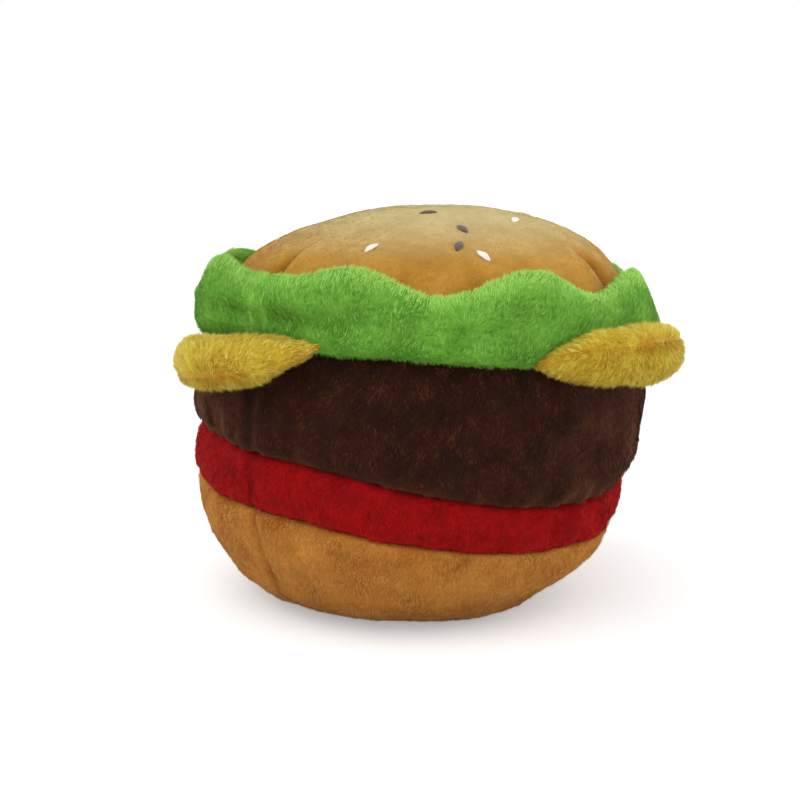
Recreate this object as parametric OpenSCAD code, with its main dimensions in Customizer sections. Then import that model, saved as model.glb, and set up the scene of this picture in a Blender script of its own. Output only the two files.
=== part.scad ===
// Plush hamburger toy: sewn pile-cloth bands round a stuffed core, with four stuffed cheese corners.
// Millimetres, +Z up, front at -Y, standing on the base panel with its centre at the origin.
// Azimuths run from the front (-Y) toward +X.

/* [Cloth and seams] */
// Thickness of the pile cloth of the body panels
cloth = 2; // [1.2:0.1:2.6]
// Width of the seam allowance turned inward at each panel edge
seam_turn = 5; // [3:0.25:7]
// Space between the cloth and the stuffing
fill_gap = 0.2; // [0.1:0.05:0.6]
// Azimuth of the closing seam of each band, in degrees
closing_seam = -48; // [-180:1:180]
// Radius of the crease that a closing seam pulls into its band
seam_crease = 0.8; // [0.4:0.1:1.2]
// Distance of a crease's middle line outside the cloth
crease_stand = 0.2; // [0:0.05:0.4]

/* [Heel and base] */
// Radius of the flat base panel at the floor
base_radius = 27; // [22:0.5:32]
// Height of the seam between heel and tomato
heel_height = 25; // [20:0.5:30]
// Swell of the heel just below its top seam
heel_bulge = 0.9; // [0.3:0.1:2]
// Roundness exponent of the heel's bowl near its top
heel_top_power = 1.6; // [1.3:0.05:2]
// Roundness exponent of the heel's bowl near the floor
heel_foot_power = 1.4; // [1.1:0.05:1.8]
// Share of the heel's height where the closing seam begins to pull a crease
heel_crease_start = 0.5; // [0.45:0.01:0.6]
// Distance of the heel crease's middle line outside the cloth at its two ends
heel_crease_stand = 0.8; // [0.6:0.05:1]

/* [Tomato] */
// Height of the tomato band
tomato_height = 12; // [8:0.5:18]
// Swell of the tomato band between its seams
tomato_bulge = 1.3; // [0.4:0.1:2.5]
// Step in radius from the patty to the seam between tomato and patty
tomato_step = 3.5; // [2:0.25:6]
// Step in radius from that seam to the seam between heel and tomato
heel_step = 1.5; // [0.5:0.25:4]

/* [Patty] */
// Height of the patty band
patty_height = 28; // [22:0.5:34]
// Largest radius of the patty band, which the other bands follow
patty_radius = 56; // [48:0.5:64]
// Height of the patty's rounded lower edge
patty_lower_round = 6; // [3:0.5:9]
// Height over which the patty tapers up to the valley
patty_shoulder = 12; // [9:0.5:14]
// Roundness exponent of the patty's taper
shoulder_power = 1.4; // [1.1:0.05:2]

/* [Valley and crown] */
// Depth of the sewn valley, under the patty's radius, that holds the lettuce and the cheese corners
valley_depth = 4.5; // [4:0.25:6]
// Half the height of the valley wall
valley_half = 2.2; // [1.8:0.1:3]
// Height of the crown's apex above the patty seam
crown_height = 31; // [27:0.5:36]
// Step in radius from the valley to the crown
crown_step = 1.3; // [1:0.1:3]
// Height of the upright part of the crown above its seam
crown_skirt = 3.5; // [2:0.25:5]
// Roundness exponent of the dome, 2 is an ellipse
dome_power = 1.95; // [1.7:0.01:2.4]
// Azimuths of the darts that shape the dome, in degrees
dart_angles = [-47, 60, 150, 240];
// Radius of a dart's crease
dart_crease = 1.1; // [0.6:0.1:1.6]
// Height of a dart's lower end above the crown's upright part
dart_from = 5; // [3:0.5:7]
// Height of a dart's upper end above the crown's upright part
dart_height = 17; // [14:0.5:19]
// Distance of a dart's cutting line outside the dome at its two ends
dart_stand = 1.7; // [1.5:0.1:2]

/* [Embroidered seeds] */
// Length of a seed
seed_length = 4.2; // [2.5:0.1:6]
// Width of a seed
seed_width = 2; // [1.4:0.1:3]
// Height of the stitches above the dome
seed_height = 0.8; // [0.5:0.1:1.2]
// Space between the stitches and the cloth
seed_gap = 0.03; // [0.02:0.01:0.1]
// White seeds: azimuth, distance from the axis as a share of the crown's radius, turn of the long side
white_spots = [[-17, 0.7, 63], [21, 0.78, -66], [56, 0.54, 20], [98, 0.52, 70], [150, 0.66, -30],
    [-150, 0.48, 40], [-95, 0.68, 10]];
// Dark seeds: azimuth, distance from the axis as a share of the crown's radius, turn of the long side
dark_spots = [[9, 0.31, -1], [20, 0.57, -79], [14.5, 0.7, 60], [118, 0.72, -20], [-172, 0.5, 40],
    [-122, 0.74, 65], [-148, 0.72, -15]];

/* [Lettuce] */
// Overhang of the lettuce past the patty's radius
lettuce_overhang = 1.4; // [0.5:0.1:3]
// Thickness of the folded lettuce strip
lettuce_thickness = 4.6; // [3.8:0.1:5.4]
// Mean height of the lettuce edge above the patty seam
lettuce_height = 16; // [14:0.25:19]
// Number of waves round the lettuce edge
lettuce_waves = 8; // [5:1:9]
// Rise and fall of a wave about the mean height
wave_rise = 3.2; // [1:0.1:4]
// Azimuth of one wave's peak, in degrees
wave_peak = 23.5; // [0:0.5:60]
// Lean of the edge outward at a peak
wave_lean = 0.9; // [0:0.1:1.5]
// Space between the lettuce and the crown
lettuce_gap = 0.4; // [0.2:0.05:0.6]
// Azimuth past a cheese corner's root that is dented in the lettuce
dent_margin = 7; // [5:0.5:9]
// Azimuth over which the dent fades out
dent_fade = 9; // [6:0.5:12]

/* [Cheese corners] */
// Azimuths of the front left, front right, back right and back left corners
corner_angles = [-48, 49, 133, -135];
// Rest angles of the four corners, upward positive, in degrees
corner_tilts = [-14, 10, 4, -5];
// Half of the azimuth that a corner's root spans
corner_half_angle = 24.5; // [20:0.5:27]
// Space between a corner's root and the valley wall
corner_gap = 0.8; // [0.5:0.05:1]
// Reach of a corner past its root
corner_reach = 15.5; // [13:0.25:18]
// Greatest half thickness of a corner
corner_swell = 6.6; // [5:0.1:7]
// Half thickness of a corner's rim and root
corner_edge = 0.8; // [0.6:0.05:1.1]
// Thickness of the cheese cloth
corner_cloth = 1.4; // [1:0.05:1.6]
// Outward length of a corner's ends
corner_end = 1.2; // [0.8:0.1:2]
// Roundness exponent of a corner's plan along its root
plan_power = 2.2; // [1.6:0.1:3]
// Fullness exponent of a corner's plan, smaller is fuller
plan_fullness = 0.75; // [0.5:0.05:1]
// Exponent that moves the thickest place outward from the root
swell_shift = 1.45; // [1.4:0.05:1.8]
// Fullness exponent of a corner's cross-section
swell_fullness = 0.8; // [0.5:0.05:1]
// Roundness exponent of the thickness along the root
side_power = 2.5; // [2:0.1:3.5]

/* [Hidden] */
$fn = 96;
round_steps = 24;
overlap = 0.1;
slope_limit = 2.5;
seam_pull = 8;
level_power = 1.3;
tomato_seam_radius = patty_radius - tomato_step;
heel_seam_radius = tomato_seam_radius - heel_step;
valley_radius = patty_radius - valley_depth;
crown_radius = valley_radius - crown_step;
lettuce_radius = patty_radius + lettuce_overhang;
heel_top = heel_height;
tomato_top = heel_top + tomato_height;
patty_top = tomato_top + patty_height;
shoulder_top = patty_top - valley_half;
crown_foot = patty_top + valley_half;
dome_foot = crown_foot + crown_skirt;
dome_rise = patty_top + crown_height - dome_foot;
dome_steps = 24;
heel_steps = 14;
band_steps = 10;
patty_steps = 2 * band_steps;
corner_root = valley_radius + corner_gap;
hinge_distance = corner_root * (1 + cos(corner_half_angle)) / 2;
lettuce_steps = lettuce_waves * 12;
corner_columns = 16;
column_turn = 75;
filling_inset = 2;
corner_rows = 7;

// Value a share u of the way from a to b
function mix(a, b, u) = a + (b - a) * u;

// Profiles of the body panels, as radius against height
function heel_fill(u) = pow(1 - pow(1 - u, heel_top_power), 1 / heel_foot_power);
function heel_outer(z) = let (u = min(1, max(0, z / heel_height)))
    base_radius + (heel_seam_radius - base_radius) * heel_fill(u)
    + heel_bulge * (heel_fill(u) - pow(u, seam_pull));
function heel_slope(z) = min(slope_limit,
    abs(heel_outer(z + overlap) - heel_outer(z - overlap)) / (2 * overlap));
function heel_inner(z) = heel_outer(z) - cloth * sqrt(1 + pow(heel_slope(z), 2));
function tomato_outer(u) = mix(heel_seam_radius, tomato_seam_radius, u)
    + tomato_bulge * sqrt(max(0, 1 - pow(2 * u - 1, 2)));
function patty_outer(z) = let (
        low = (z - tomato_top) / patty_lower_round,
        high = (z - (shoulder_top - patty_shoulder)) / patty_shoulder)
    low < 1 ? mix(tomato_seam_radius, patty_radius, sqrt(max(0, 1 - pow(1 - low, 2))))
    : high > 0 ? mix(patty_radius, valley_radius, pow(min(1, high), shoulder_power))
    : patty_radius;
function dome_r(t, inset) = (crown_radius - inset) * pow(max(0, cos(t)), 2 / dome_power);
function dome_z(t, inset) = dome_foot + (dome_rise - inset) * pow(max(0, sin(t)), 2 / dome_power);
// Height of the dome's outside at a distance from the axis
function dome_height(r) = dome_foot + dome_rise * pow(1 - pow(r / crown_radius, dome_power), 1 / dome_power);

heel_levels = [for (i = [0 : heel_steps]) mix(cloth, heel_top, pow(i / heel_steps, level_power))];
heel_inner_levels = [for (i = [0 : heel_steps])
    mix(2 * cloth, heel_top - cloth, pow(i / heel_steps, level_power))];
base_top_radius = heel_outer(cloth);

// Outline of a crease rod: a thin cylinder from one point of a band's meridian to another
module crease(r1, z1, r2, z2, thick, azimuth) {
    length = sqrt(pow(r2 - r1, 2) + pow(z2 - z1, 2));
    rotate([0, 0, azimuth]) translate([0, -r1, z1]) rotate([atan2(r1 - r2, z2 - z1) * -1, 0, 0])
        cylinder(r = thick, h = length, $fn = round_steps);
}

// Polyester fibre that fills the body inside the cloth
module stuffing() {
    neck = valley_radius - seam_turn - fill_gap;
    heel_neck = heel_seam_radius - seam_turn - fill_gap;
    tomato_neck = tomato_seam_radius - seam_turn - fill_gap;
    base_neck = base_top_radius - seam_turn - fill_gap;
    color("WhiteSmoke") rotate_extrude() polygon(concat(
        [[0, cloth + fill_gap], [base_neck, cloth + fill_gap], [base_neck, 2 * cloth + fill_gap]],
        [for (i = [0 : heel_steps]) let (
                z = mix(2 * cloth + fill_gap, heel_top - cloth - fill_gap, pow(i / heel_steps, level_power)))
            [heel_inner(z) - 2 * fill_gap, z]],
        [[heel_neck, heel_top - cloth - fill_gap], [heel_neck, heel_top + cloth + fill_gap]],
        [for (i = [0 : band_steps]) let (
                z = mix(heel_top + cloth + fill_gap, tomato_top - cloth - fill_gap, i / band_steps))
            [tomato_outer((z - heel_top) / tomato_height) - cloth - fill_gap, z]],
        [[tomato_neck, tomato_top - cloth - fill_gap], [tomato_neck, tomato_top + cloth + fill_gap]],
        [for (i = [0 : patty_steps]) let (
                z = mix(tomato_top + cloth + fill_gap, shoulder_top - cloth - fill_gap, i / patty_steps))
            [patty_outer(z) - cloth - 2 * fill_gap, z]],
        [[neck, shoulder_top - cloth - fill_gap], [neck, crown_foot + cloth + fill_gap]],
        [[crown_radius - cloth - fill_gap, crown_foot + cloth + fill_gap]],
        [for (i = [0 : dome_steps]) let (t = 90 * i / dome_steps)
            [dome_r(t, cloth + fill_gap), dome_z(t, cloth + fill_gap)]]));
}

// Round panel that the toy stands on
module base_panel() {
    color("Peru") cylinder(r1 = base_radius, r2 = base_top_radius, h = cloth);
}

// Lower bun: a strip closed into a bowl by one seam, with its edges turned in
module heel_band() {
    color("Peru") difference() {
        rotate_extrude() polygon(concat(
            [[base_top_radius - seam_turn, cloth]],
            [for (z = heel_levels) [heel_outer(z), z]],
            [[heel_seam_radius - seam_turn, heel_top], [heel_seam_radius - seam_turn, heel_top - cloth]],
            [for (i = [0 : heel_steps]) let (z = heel_inner_levels[heel_steps - i]) [heel_inner(z), z]],
            [[base_top_radius - seam_turn, 2 * cloth]]));
        crease(heel_outer(heel_top * heel_crease_start) + heel_crease_stand, heel_top * heel_crease_start,
            heel_seam_radius + heel_crease_stand, heel_top + overlap, seam_crease, closing_seam);
    }
}

// Tomato slice: a narrow red band
module tomato_band() {
    color("Firebrick") difference() {
        rotate_extrude() polygon(concat(
            [[heel_seam_radius - seam_turn, heel_top]],
            [for (i = [0 : band_steps]) let (u = i / band_steps)
                [tomato_outer(u), mix(heel_top, tomato_top, u)]],
            [[tomato_seam_radius - seam_turn, tomato_top]],
            [[tomato_seam_radius - seam_turn, tomato_top - cloth]],
            [for (i = [0 : band_steps]) let (
                    z = mix(tomato_top - cloth, heel_top + cloth, i / band_steps))
                [tomato_outer((z - heel_top) / tomato_height) - cloth, z]],
            [[heel_seam_radius - seam_turn, heel_top + cloth]]));
        crease(heel_seam_radius + tomato_bulge, heel_top - overlap, tomato_seam_radius + tomato_bulge,
            tomato_top + overlap, seam_crease, closing_seam);
    }
}

// Patty: the tall dark band, tapered at the top to the valley
module patty_band() {
    color("SaddleBrown") difference() {
        rotate_extrude() polygon(concat(
            [[tomato_seam_radius - seam_turn, tomato_top]],
            [for (i = [0 : patty_steps]) let (z = mix(tomato_top, shoulder_top, i / patty_steps))
                [patty_outer(z), z]],
            [[valley_radius, patty_top], [valley_radius - seam_turn, patty_top]],
            [[valley_radius - seam_turn, shoulder_top - cloth]],
            [for (i = [0 : patty_steps]) let (
                    z = mix(shoulder_top - cloth, tomato_top + cloth, i / patty_steps))
                [patty_outer(z) - cloth, z]],
            [[tomato_seam_radius - seam_turn, tomato_top + cloth]]));
        crease(patty_radius + crease_stand, tomato_top - overlap, patty_radius + crease_stand,
            shoulder_top - patty_shoulder, seam_crease, closing_seam);
    }
}

// Share of the dent that the cheese corners press into the lettuce at an azimuth
function turn_gap(a, b) = abs(((a - b + 540) % 360) - 180);
function dent_at(a) = max([for (c = corner_angles) let (
        u = min(1, max(0, (corner_half_angle + dent_margin - turn_gap(a, c)) / dent_fade)))
    u * u * (3 - 2 * u)]);

// One cross-section of the lettuce collar, as radius and height
function lettuce_loop(a) = let (
        wave = cos(lettuce_waves * (a - wave_peak)),
        dent = dent_at(a),
        rise = lettuce_height + wave_rise * wave,
        lean = wave_lean * wave,
        out = lettuce_radius,
        thick = lettuce_thickness)
    [[valley_radius - seam_turn, patty_top],
     [valley_radius, patty_top],
     [valley_radius, crown_foot],
     [valley_radius + thick * mix(0.78, 0.35, dent), patty_top + rise * mix(0.16, 0.36, dent)],
     [out - thick * mix(0.2, 0.78, dent), patty_top + rise * mix(0.32, 0.62, dent)],
     [out - thick * mix(0, 0.26, dent), patty_top + rise * mix(0.54, 0.73, dent)],
     [out - thick * 0.26 + lean * 0.5, patty_top + rise * 0.82],
     [out - thick * 0.52 + lean, patty_top + rise - thick * 0.33],
     [out - thick * 0.83 + lean, patty_top + rise],
     [out - thick * 1.15 + lean * 0.8, patty_top + rise - thick * 0.3],
     [out - thick * 1.26 + lean * 0.3, patty_top + rise * 0.72],
     [crown_radius + lettuce_gap + thick * 0.17, patty_top + rise * 0.42],
     [crown_radius + lettuce_gap, crown_foot],
     [valley_radius - seam_turn, crown_foot]];

// Lettuce: a folded strip that stands as a wavy collar round the crown
module lettuce_collar() {
    n = len(lettuce_loop(0));
    color("YellowGreen") polyhedron(
        points = [for (i = [0 : lettuce_steps - 1], p = lettuce_loop(360 * i / lettuce_steps)) let (
                a = 360 * i / lettuce_steps) [p[0] * sin(a), -p[0] * cos(a), p[1]]],
        faces = [for (i = [0 : lettuce_steps - 1], j = [0 : n - 1]) let (
                i2 = (i + 1) % lettuce_steps, j2 = (j + 1) % n)
            each [[i * n + j, i * n + j2, i2 * n + j2], [i * n + j, i2 * n + j2, i2 * n + j]]]);
}

// Upper bun: one dome, shaped by four darts at its foot
module crown() {
    dart_low = asin(pow(dart_from / dome_rise, dome_power / 2));
    dart_high = asin(pow(dart_height / dome_rise, dome_power / 2));
    color("SandyBrown") difference() {
        rotate_extrude() polygon(concat(
            [[valley_radius - seam_turn, crown_foot], [crown_radius, crown_foot]],
            [for (i = [0 : dome_steps]) let (t = 90 * i / dome_steps) [dome_r(t, 0), dome_z(t, 0)]],
            [for (i = [0 : dome_steps]) let (t = 90 - 90 * i / dome_steps)
                [dome_r(t, cloth), dome_z(t, cloth)]],
            [[crown_radius - cloth, crown_foot + cloth], [valley_radius - seam_turn, crown_foot + cloth]]));
        for (a = dart_angles)
            crease(dome_r(dart_low, 0) + dart_stand, dome_z(dart_low, 0), dome_r(dart_high, 0) + dart_stand,
                dome_z(dart_high, 0), dart_crease, a);
    }
}

// One embroidered seed as a flat rounded pad lying on the dome
module seed(spot) {
    r = spot[1] * crown_radius;
    slope = atan2(dome_height(r - overlap) - dome_height(r + overlap), 2 * overlap);
    straight = seed_length - seed_width;
    rotate([0, 0, spot[0]]) translate([0, -r, dome_height(r) + seed_gap]) rotate([slope, 0, 0])
        rotate([0, 0, spot[2]]) union() {
            translate([-straight / 2, -seed_width / 2, 0]) cube([straight, seed_width, seed_height]);
            for (end = [-1, 1])
                translate([end * straight / 2, 0, 0])
                    cylinder(d = seed_width, h = seed_height, $fn = round_steps);
        }
}

// White satin-stitch seeds
module white_seeds() {
    color("White") for (s = white_spots) seed(s);
}

// Dark satin-stitch seeds
module dark_seeds() {
    color("DimGray") for (s = dark_spots) seed(s);
}

// Plan and swell of a cheese corner: share s of the half angle, share t of the reach
function corner_s(i) = sin(column_turn * (2 * i / corner_columns - 1)) / sin(column_turn);
function corner_t(j) = (1 - cos(180 * j / corner_rows)) / 2;
function corner_length(s) = corner_end
    + (corner_reach - corner_end) * pow(max(0, 1 - pow(abs(s), plan_power)), plan_fullness);
function corner_half(s, t) = corner_edge + (corner_swell - corner_edge)
    * pow(max(0, 1 - pow(2 * pow(t, swell_shift) - 1, 2)), swell_fullness)
    * sqrt(max(0, 1 - pow(abs(s), side_power)));
function corner_point(s, t, h) = let (a = s * corner_half_angle, r = corner_root + corner_length(s) * t)
    [r * sin(a), -r * cos(a), h];

// Closed shell between two height fields over a block of the corner's grid
module corner_block(i0, i1, j0, j1, top, bottom) {
    columns = i1 - i0 + 1;
    rows = j1 - j0 + 1;
    half = columns * rows;
    points = concat(
        [for (i = [0 : columns - 1], j = [0 : rows - 1])
            corner_point(corner_s(i0 + i), corner_t(j0 + j), top[i][j])],
        [for (i = [0 : columns - 1], j = [0 : rows - 1])
            corner_point(corner_s(i0 + i), corner_t(j0 + j), bottom[i][j])]);
    rim = concat(
        [for (i = [0 : columns - 1]) i * rows],
        [for (j = [1 : rows - 1]) (columns - 1) * rows + j],
        [for (i = [1 : columns - 1]) (columns - 1 - i) * rows + rows - 1],
        [for (j = [1 : rows - 2]) rows - 1 - j]);
    count = len(rim);
    polyhedron(points = points, faces = concat(
        [for (i = [0 : columns - 2], j = [0 : rows - 2]) let (p = i * rows + j)
            each [[p, p + 1, p + rows + 1], [p, p + rows + 1, p + rows]]],
        [for (i = [0 : columns - 2], j = [0 : rows - 2]) let (p = half + i * rows + j)
            each [[p, p + rows + 1, p + 1], [p, p + rows, p + rows + 1]]],
        [for (k = [0 : count - 1]) let (a = rim[k], b = rim[(k + 1) % count])
            each [[a, b, half + b], [a, half + b, half + a]]]));
}

// Puts a corner part at its place: tilted about its hinge line, then turned to its azimuth
module corner_place(k) {
    rotate([0, 0, corner_angles[k]]) translate([0, -hinge_distance, patty_top])
        rotate([-corner_tilts[k], 0, 0]) translate([0, hinge_distance, 0]) children();
}

// Upper cloth of a corner, its rim seam lying on the middle plane
module corner_upper(k) {
    top = [for (i = [0 : corner_columns]) [for (j = [0 : corner_rows]) corner_half(corner_s(i), corner_t(j))]];
    low = [for (row = top) [for (h = row) max(0, h - corner_cloth)]];
    color("Gold") corner_place(k) corner_block(0, corner_columns, 0, corner_rows, top, low);
}

// Lower cloth of a corner
module corner_lower(k) {
    low = [for (i = [0 : corner_columns]) [for (j = [0 : corner_rows]) -corner_half(corner_s(i), corner_t(j))]];
    top = [for (row = low) [for (h = row) min(0, h + corner_cloth)]];
    color("Goldenrod") corner_place(k) corner_block(0, corner_columns, 0, corner_rows, top, low);
}

// Fibre inside a corner, over the rows and columns where the cloths stand apart
module corner_filling(k) {
    last_column = corner_columns - filling_inset;
    last_row = corner_rows - 1;
    top = [for (i = [filling_inset : last_column]) [for (j = [filling_inset : last_row])
        corner_half(corner_s(i), corner_t(j)) - corner_cloth - fill_gap]];
    low = [for (row = top) [for (h = row) -h]];
    color("WhiteSmoke") corner_place(k)
        corner_block(filling_inset, last_column, filling_inset, last_row, top, low);
}

module cheese_fl_upper() { corner_upper(0); }
module cheese_fl_lower() { corner_lower(0); }
module cheese_fl_filling() { corner_filling(0); }
module cheese_fr_upper() { corner_upper(1); }
module cheese_fr_lower() { corner_lower(1); }
module cheese_fr_filling() { corner_filling(1); }
module cheese_br_upper() { corner_upper(2); }
module cheese_br_lower() { corner_lower(2); }
module cheese_br_filling() { corner_filling(2); }
module cheese_bl_upper() { corner_upper(3); }
module cheese_bl_lower() { corner_lower(3); }
module cheese_bl_filling() { corner_filling(3); }

stuffing();
base_panel();
heel_band();
tomato_band();
patty_band();
lettuce_collar();
crown();
white_seeds();
dark_seeds();
cheese_fl_upper();
cheese_fl_lower();
cheese_fl_filling();
cheese_fr_upper();
cheese_fr_lower();
cheese_fr_filling();
cheese_br_upper();
cheese_br_lower();
cheese_br_filling();
cheese_bl_upper();
cheese_bl_lower();
cheese_bl_filling();
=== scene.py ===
"""Plush hamburger toy: sewn pile panels, a folded lettuce collar and four stuffed cheese corners.

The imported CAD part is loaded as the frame, and every node is dressed by a soft piece of its own.
Sizes are millimetres and angles radians unless a docstring says otherwise.
The front faces -Y, and azimuths run from the front toward +X.
"""
import logging
import math
from dataclasses import dataclass, replace
from enum import Enum
from typing import Callable, ClassVar

import bmesh
import bpy
import numpy as np
from mathutils import Matrix, Vector


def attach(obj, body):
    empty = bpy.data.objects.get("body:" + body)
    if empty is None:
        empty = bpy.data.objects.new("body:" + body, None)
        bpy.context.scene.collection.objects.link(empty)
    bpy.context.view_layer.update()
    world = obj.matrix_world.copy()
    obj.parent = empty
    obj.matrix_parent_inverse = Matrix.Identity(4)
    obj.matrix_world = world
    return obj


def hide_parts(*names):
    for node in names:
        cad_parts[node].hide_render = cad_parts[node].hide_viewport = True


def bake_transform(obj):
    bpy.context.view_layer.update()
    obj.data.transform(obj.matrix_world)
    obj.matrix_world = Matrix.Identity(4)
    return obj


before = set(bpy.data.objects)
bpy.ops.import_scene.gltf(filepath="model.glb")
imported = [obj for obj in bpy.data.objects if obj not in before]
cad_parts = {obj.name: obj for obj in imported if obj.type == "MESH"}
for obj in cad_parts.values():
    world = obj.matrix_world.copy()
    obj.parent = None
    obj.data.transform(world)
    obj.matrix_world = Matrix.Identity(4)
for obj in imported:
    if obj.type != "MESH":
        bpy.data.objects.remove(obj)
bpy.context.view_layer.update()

MM = 0.001
TINY = 1e-9
QUARTER_TURN = math.pi / 2
FULL_TURN = 2 * math.pi
# Share of a panel's height that is turned in at a sewn edge.
SEAM_ALLOWANCE = 0.06
# Vertices nearer than this are one.
MERGE_DISTANCE = 0.02
ROOT_BODY = "burger"
Array = np.ndarray
Colour = tuple[float, float, float]

logging.basicConfig(level=logging.INFO, format="%(message)s")
LOG = logging.getLogger("burger")


class Nap(Enum):
    """Way that a panel's pile is brushed, as shares round the toy and up the panel."""

    UP = (0.35, 1.0)
    DOWN = (-0.2, -1.0)


class Corner(Enum):
    """Cheese corner: its body's name, its short name, its azimuth and its rest angle in degrees."""

    FRONT_LEFT = ("cheese_front_left", "fl", -48.0, -14.0)
    FRONT_RIGHT = ("cheese_front_right", "fr", 49.0, 10.0)
    BACK_RIGHT = ("cheese_back_right", "br", 133.0, 4.0)
    BACK_LEFT = ("cheese_back_left", "bl", -135.0, -5.0)

    @property
    def body(self) -> str:
        """Name of the CAD body that the corner rides on."""
        return self.value[0]

    @property
    def short(self) -> str:
        """Short name that the corner's nodes carry."""
        return self.value[1]

    @property
    def azimuth(self) -> float:
        """Azimuth of the corner's middle in radians."""
        return math.radians(self.value[2])

    @property
    def tilt(self) -> float:
        """Rest angle of the corner in radians, upward positive."""
        return math.radians(self.value[3])


class SoftNoise:
    """Smooth seeded noise in space, made of sine waves of about one length."""

    WAVES = 20
    SPREAD = (0.7, 1.5)

    def __init__(self, wavelength: float, seed: int) -> None:
        """Draws the waves.

        Args:
            wavelength: typical length of a wave.
            seed: seed of the random draw.
        """
        rng = np.random.default_rng(seed)
        way = rng.normal(size=(self.WAVES, 3))
        way /= np.linalg.norm(way, axis=1, keepdims=True)
        length = wavelength * rng.uniform(*self.SPREAD, self.WAVES)
        self.vectors = FULL_TURN * way / length[:, None]
        self.phases = rng.uniform(0, FULL_TURN, self.WAVES)

    def at(self, points: Array) -> Array:
        """Noise of about unit spread at an array of points."""
        return np.sin(points @ self.vectors.T + self.phases).sum(1) * math.sqrt(2 / self.WAVES)


@dataclass(frozen=True)
class Pile:
    """Fibres of a pile cloth.

    The density counts fibres on a square millimetre. The lift off the cloth is in degrees, and the stray
    is the turn from the brushed way. A fibre's root is darker by the root tone, as painted shade, and its tip
    paler by half of it, as painted light; fibres of one tone stand in locks.
    """

    density: float
    length: float
    width: float
    lift: float
    stray: float
    nap: Nap
    seed: int
    root_shade_tone: float = 0.2
    lock: float = 1.1


@dataclass(frozen=True)
class Fade:
    """Second set of colours that a cloth fades to between two heights."""

    low: float
    high: float
    deep: Colour
    middle: Colour
    pale: Colour


@dataclass(frozen=True)
class Plush:
    """Finish of a pile cloth: colours from deep to pale, and its fibres, darker at their roots by painted
    shade and paler at their tips by painted light.

    Mottling and grain are the tone's spread over patches and over single fibres.
    The ground is the tone that the cloth under the fibres loses, as painted shade among the fibres.
    """

    name: str
    slot: str
    deep: Colour
    middle: Colour
    pale: Colour
    mottling: float
    grain: float
    patch: float
    sheen: float
    pile: Pile
    fade: Fade | None = None
    ground: float = 0.25
    sheen_tint: Colour | None = None


def linear(colour: Colour) -> tuple[float, float, float, float]:
    """Turns a display colour of 0 to 255 into Blender's linear colour by the sRGB curve.

    Args:
        colour: red, green and blue as a screen shows them.

    Returns:
        The linear colour with full alpha.
    """
    parts = [c / 255 for c in colour]
    light = [c / 12.92 if c <= 0.04045 else ((c + 0.055) / 1.055) ** 2.4 for c in parts]
    return (light[0], light[1], light[2], 1.0)


def smooth_step(low: float, high: float, value: Array) -> Array:
    """Soft ramp from 0 at low to 1 at high."""
    share = np.clip((value - low) / (high - low), 0, 1)
    return share * share * (3 - 2 * share)


def bell(distance: Array, width: float) -> Array:
    """Bell curve of height 1 over a distance."""
    return np.exp(-np.square(distance / width))


def turn_between(azimuth: Array, other: float) -> Array:
    """Signed turn from another azimuth, in radians within half a circle."""
    return (azimuth - other + math.pi) % FULL_TURN - math.pi


def around_axis(azimuth: Array, radius: Array | float, z: Array | float) -> Array:
    """Points at an azimuth, a radius and a height."""
    return np.stack(np.broadcast_arrays(radius * np.sin(azimuth), -radius * np.cos(azimuth), z), 1)


def azimuth_of(points: Array) -> Array:
    """Azimuth of each point."""
    return np.arctan2(points[:, 0], -points[:, 1])


def unit_length(vectors: Array) -> Array:
    """Vectors of length 1 along the last axis."""
    return vectors / (np.linalg.norm(vectors, axis=-1, keepdims=True) + TINY)


def new_mode(mode: str) -> None:
    """Switches the active object's mode."""
    bpy.ops.object.mode_set(mode=mode)


def deselect_all() -> None:
    """Deselects every object, the CAD nodes too."""
    bpy.ops.object.select_all(action="DESELECT")


def places(obj: bpy.types.Object) -> Array:
    """Vertex places of a mesh object as an array."""
    flat = np.empty(len(obj.data.vertices) * 3)
    obj.data.vertices.foreach_get("co", flat)
    return flat.reshape(-1, 3)


def vertex_normals(obj: bpy.types.Object) -> Array:
    """Vertex normals of a mesh object as an array."""
    flat = np.empty(len(obj.data.vertices) * 3)
    obj.data.vertices.foreach_get("normal", flat)
    return flat.reshape(-1, 3)


def put(obj: bpy.types.Object, points: Array) -> None:
    """Moves a mesh's vertices to points in millimetres.

    Args:
        obj: mesh object at the origin.
        points: one place for each vertex.
    """
    obj.data.vertices.foreach_set("co", (points * MM).ravel())
    obj.data.update()


def activate(obj: bpy.types.Object) -> None:
    """Makes an object the only selected one and the active one."""
    deselect_all()
    obj.select_set(True)
    bpy.context.view_layer.objects.active = obj


def cut_along(obj: bpy.types.Object, axis: int, cuts: int) -> None:
    """Cuts every edge of a unit-long mesh that runs along an axis.

    Args:
        obj: active mesh object.
        axis: number of the axis.
        cuts: cuts in each edge.
    """
    new_mode("EDIT")
    bpy.ops.mesh.select_mode(type="EDGE")
    bpy.ops.mesh.select_all(action="DESELECT")
    new_mode("OBJECT")
    level = places(obj)[:, axis]
    for edge in obj.data.edges:
        first, second = edge.vertices
        edge.select = bool(abs(level[first] - level[second]) > 0.5)
    new_mode("EDIT")
    bpy.ops.mesh.subdivide(number_cuts=cuts)
    new_mode("OBJECT")


def sleeve(name: str, columns: int, rows: int) -> bpy.types.Object:
    """Open tube of unit radius and height, cut into rows.

    Args:
        name: name of the object.
        columns: faces round the tube.
        rows: faces up the tube.

    Returns:
        The tube.
    """
    deselect_all()
    bpy.ops.mesh.primitive_cylinder_add(vertices=columns, radius=1, depth=1, end_fill_type="NOTHING",
                                        location=(0, 0, 0.5))
    bpy.ops.object.transform_apply(location=True)
    obj = bpy.context.object
    obj.name = name
    cut_along(obj, 2, rows - 1)
    return obj


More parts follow.
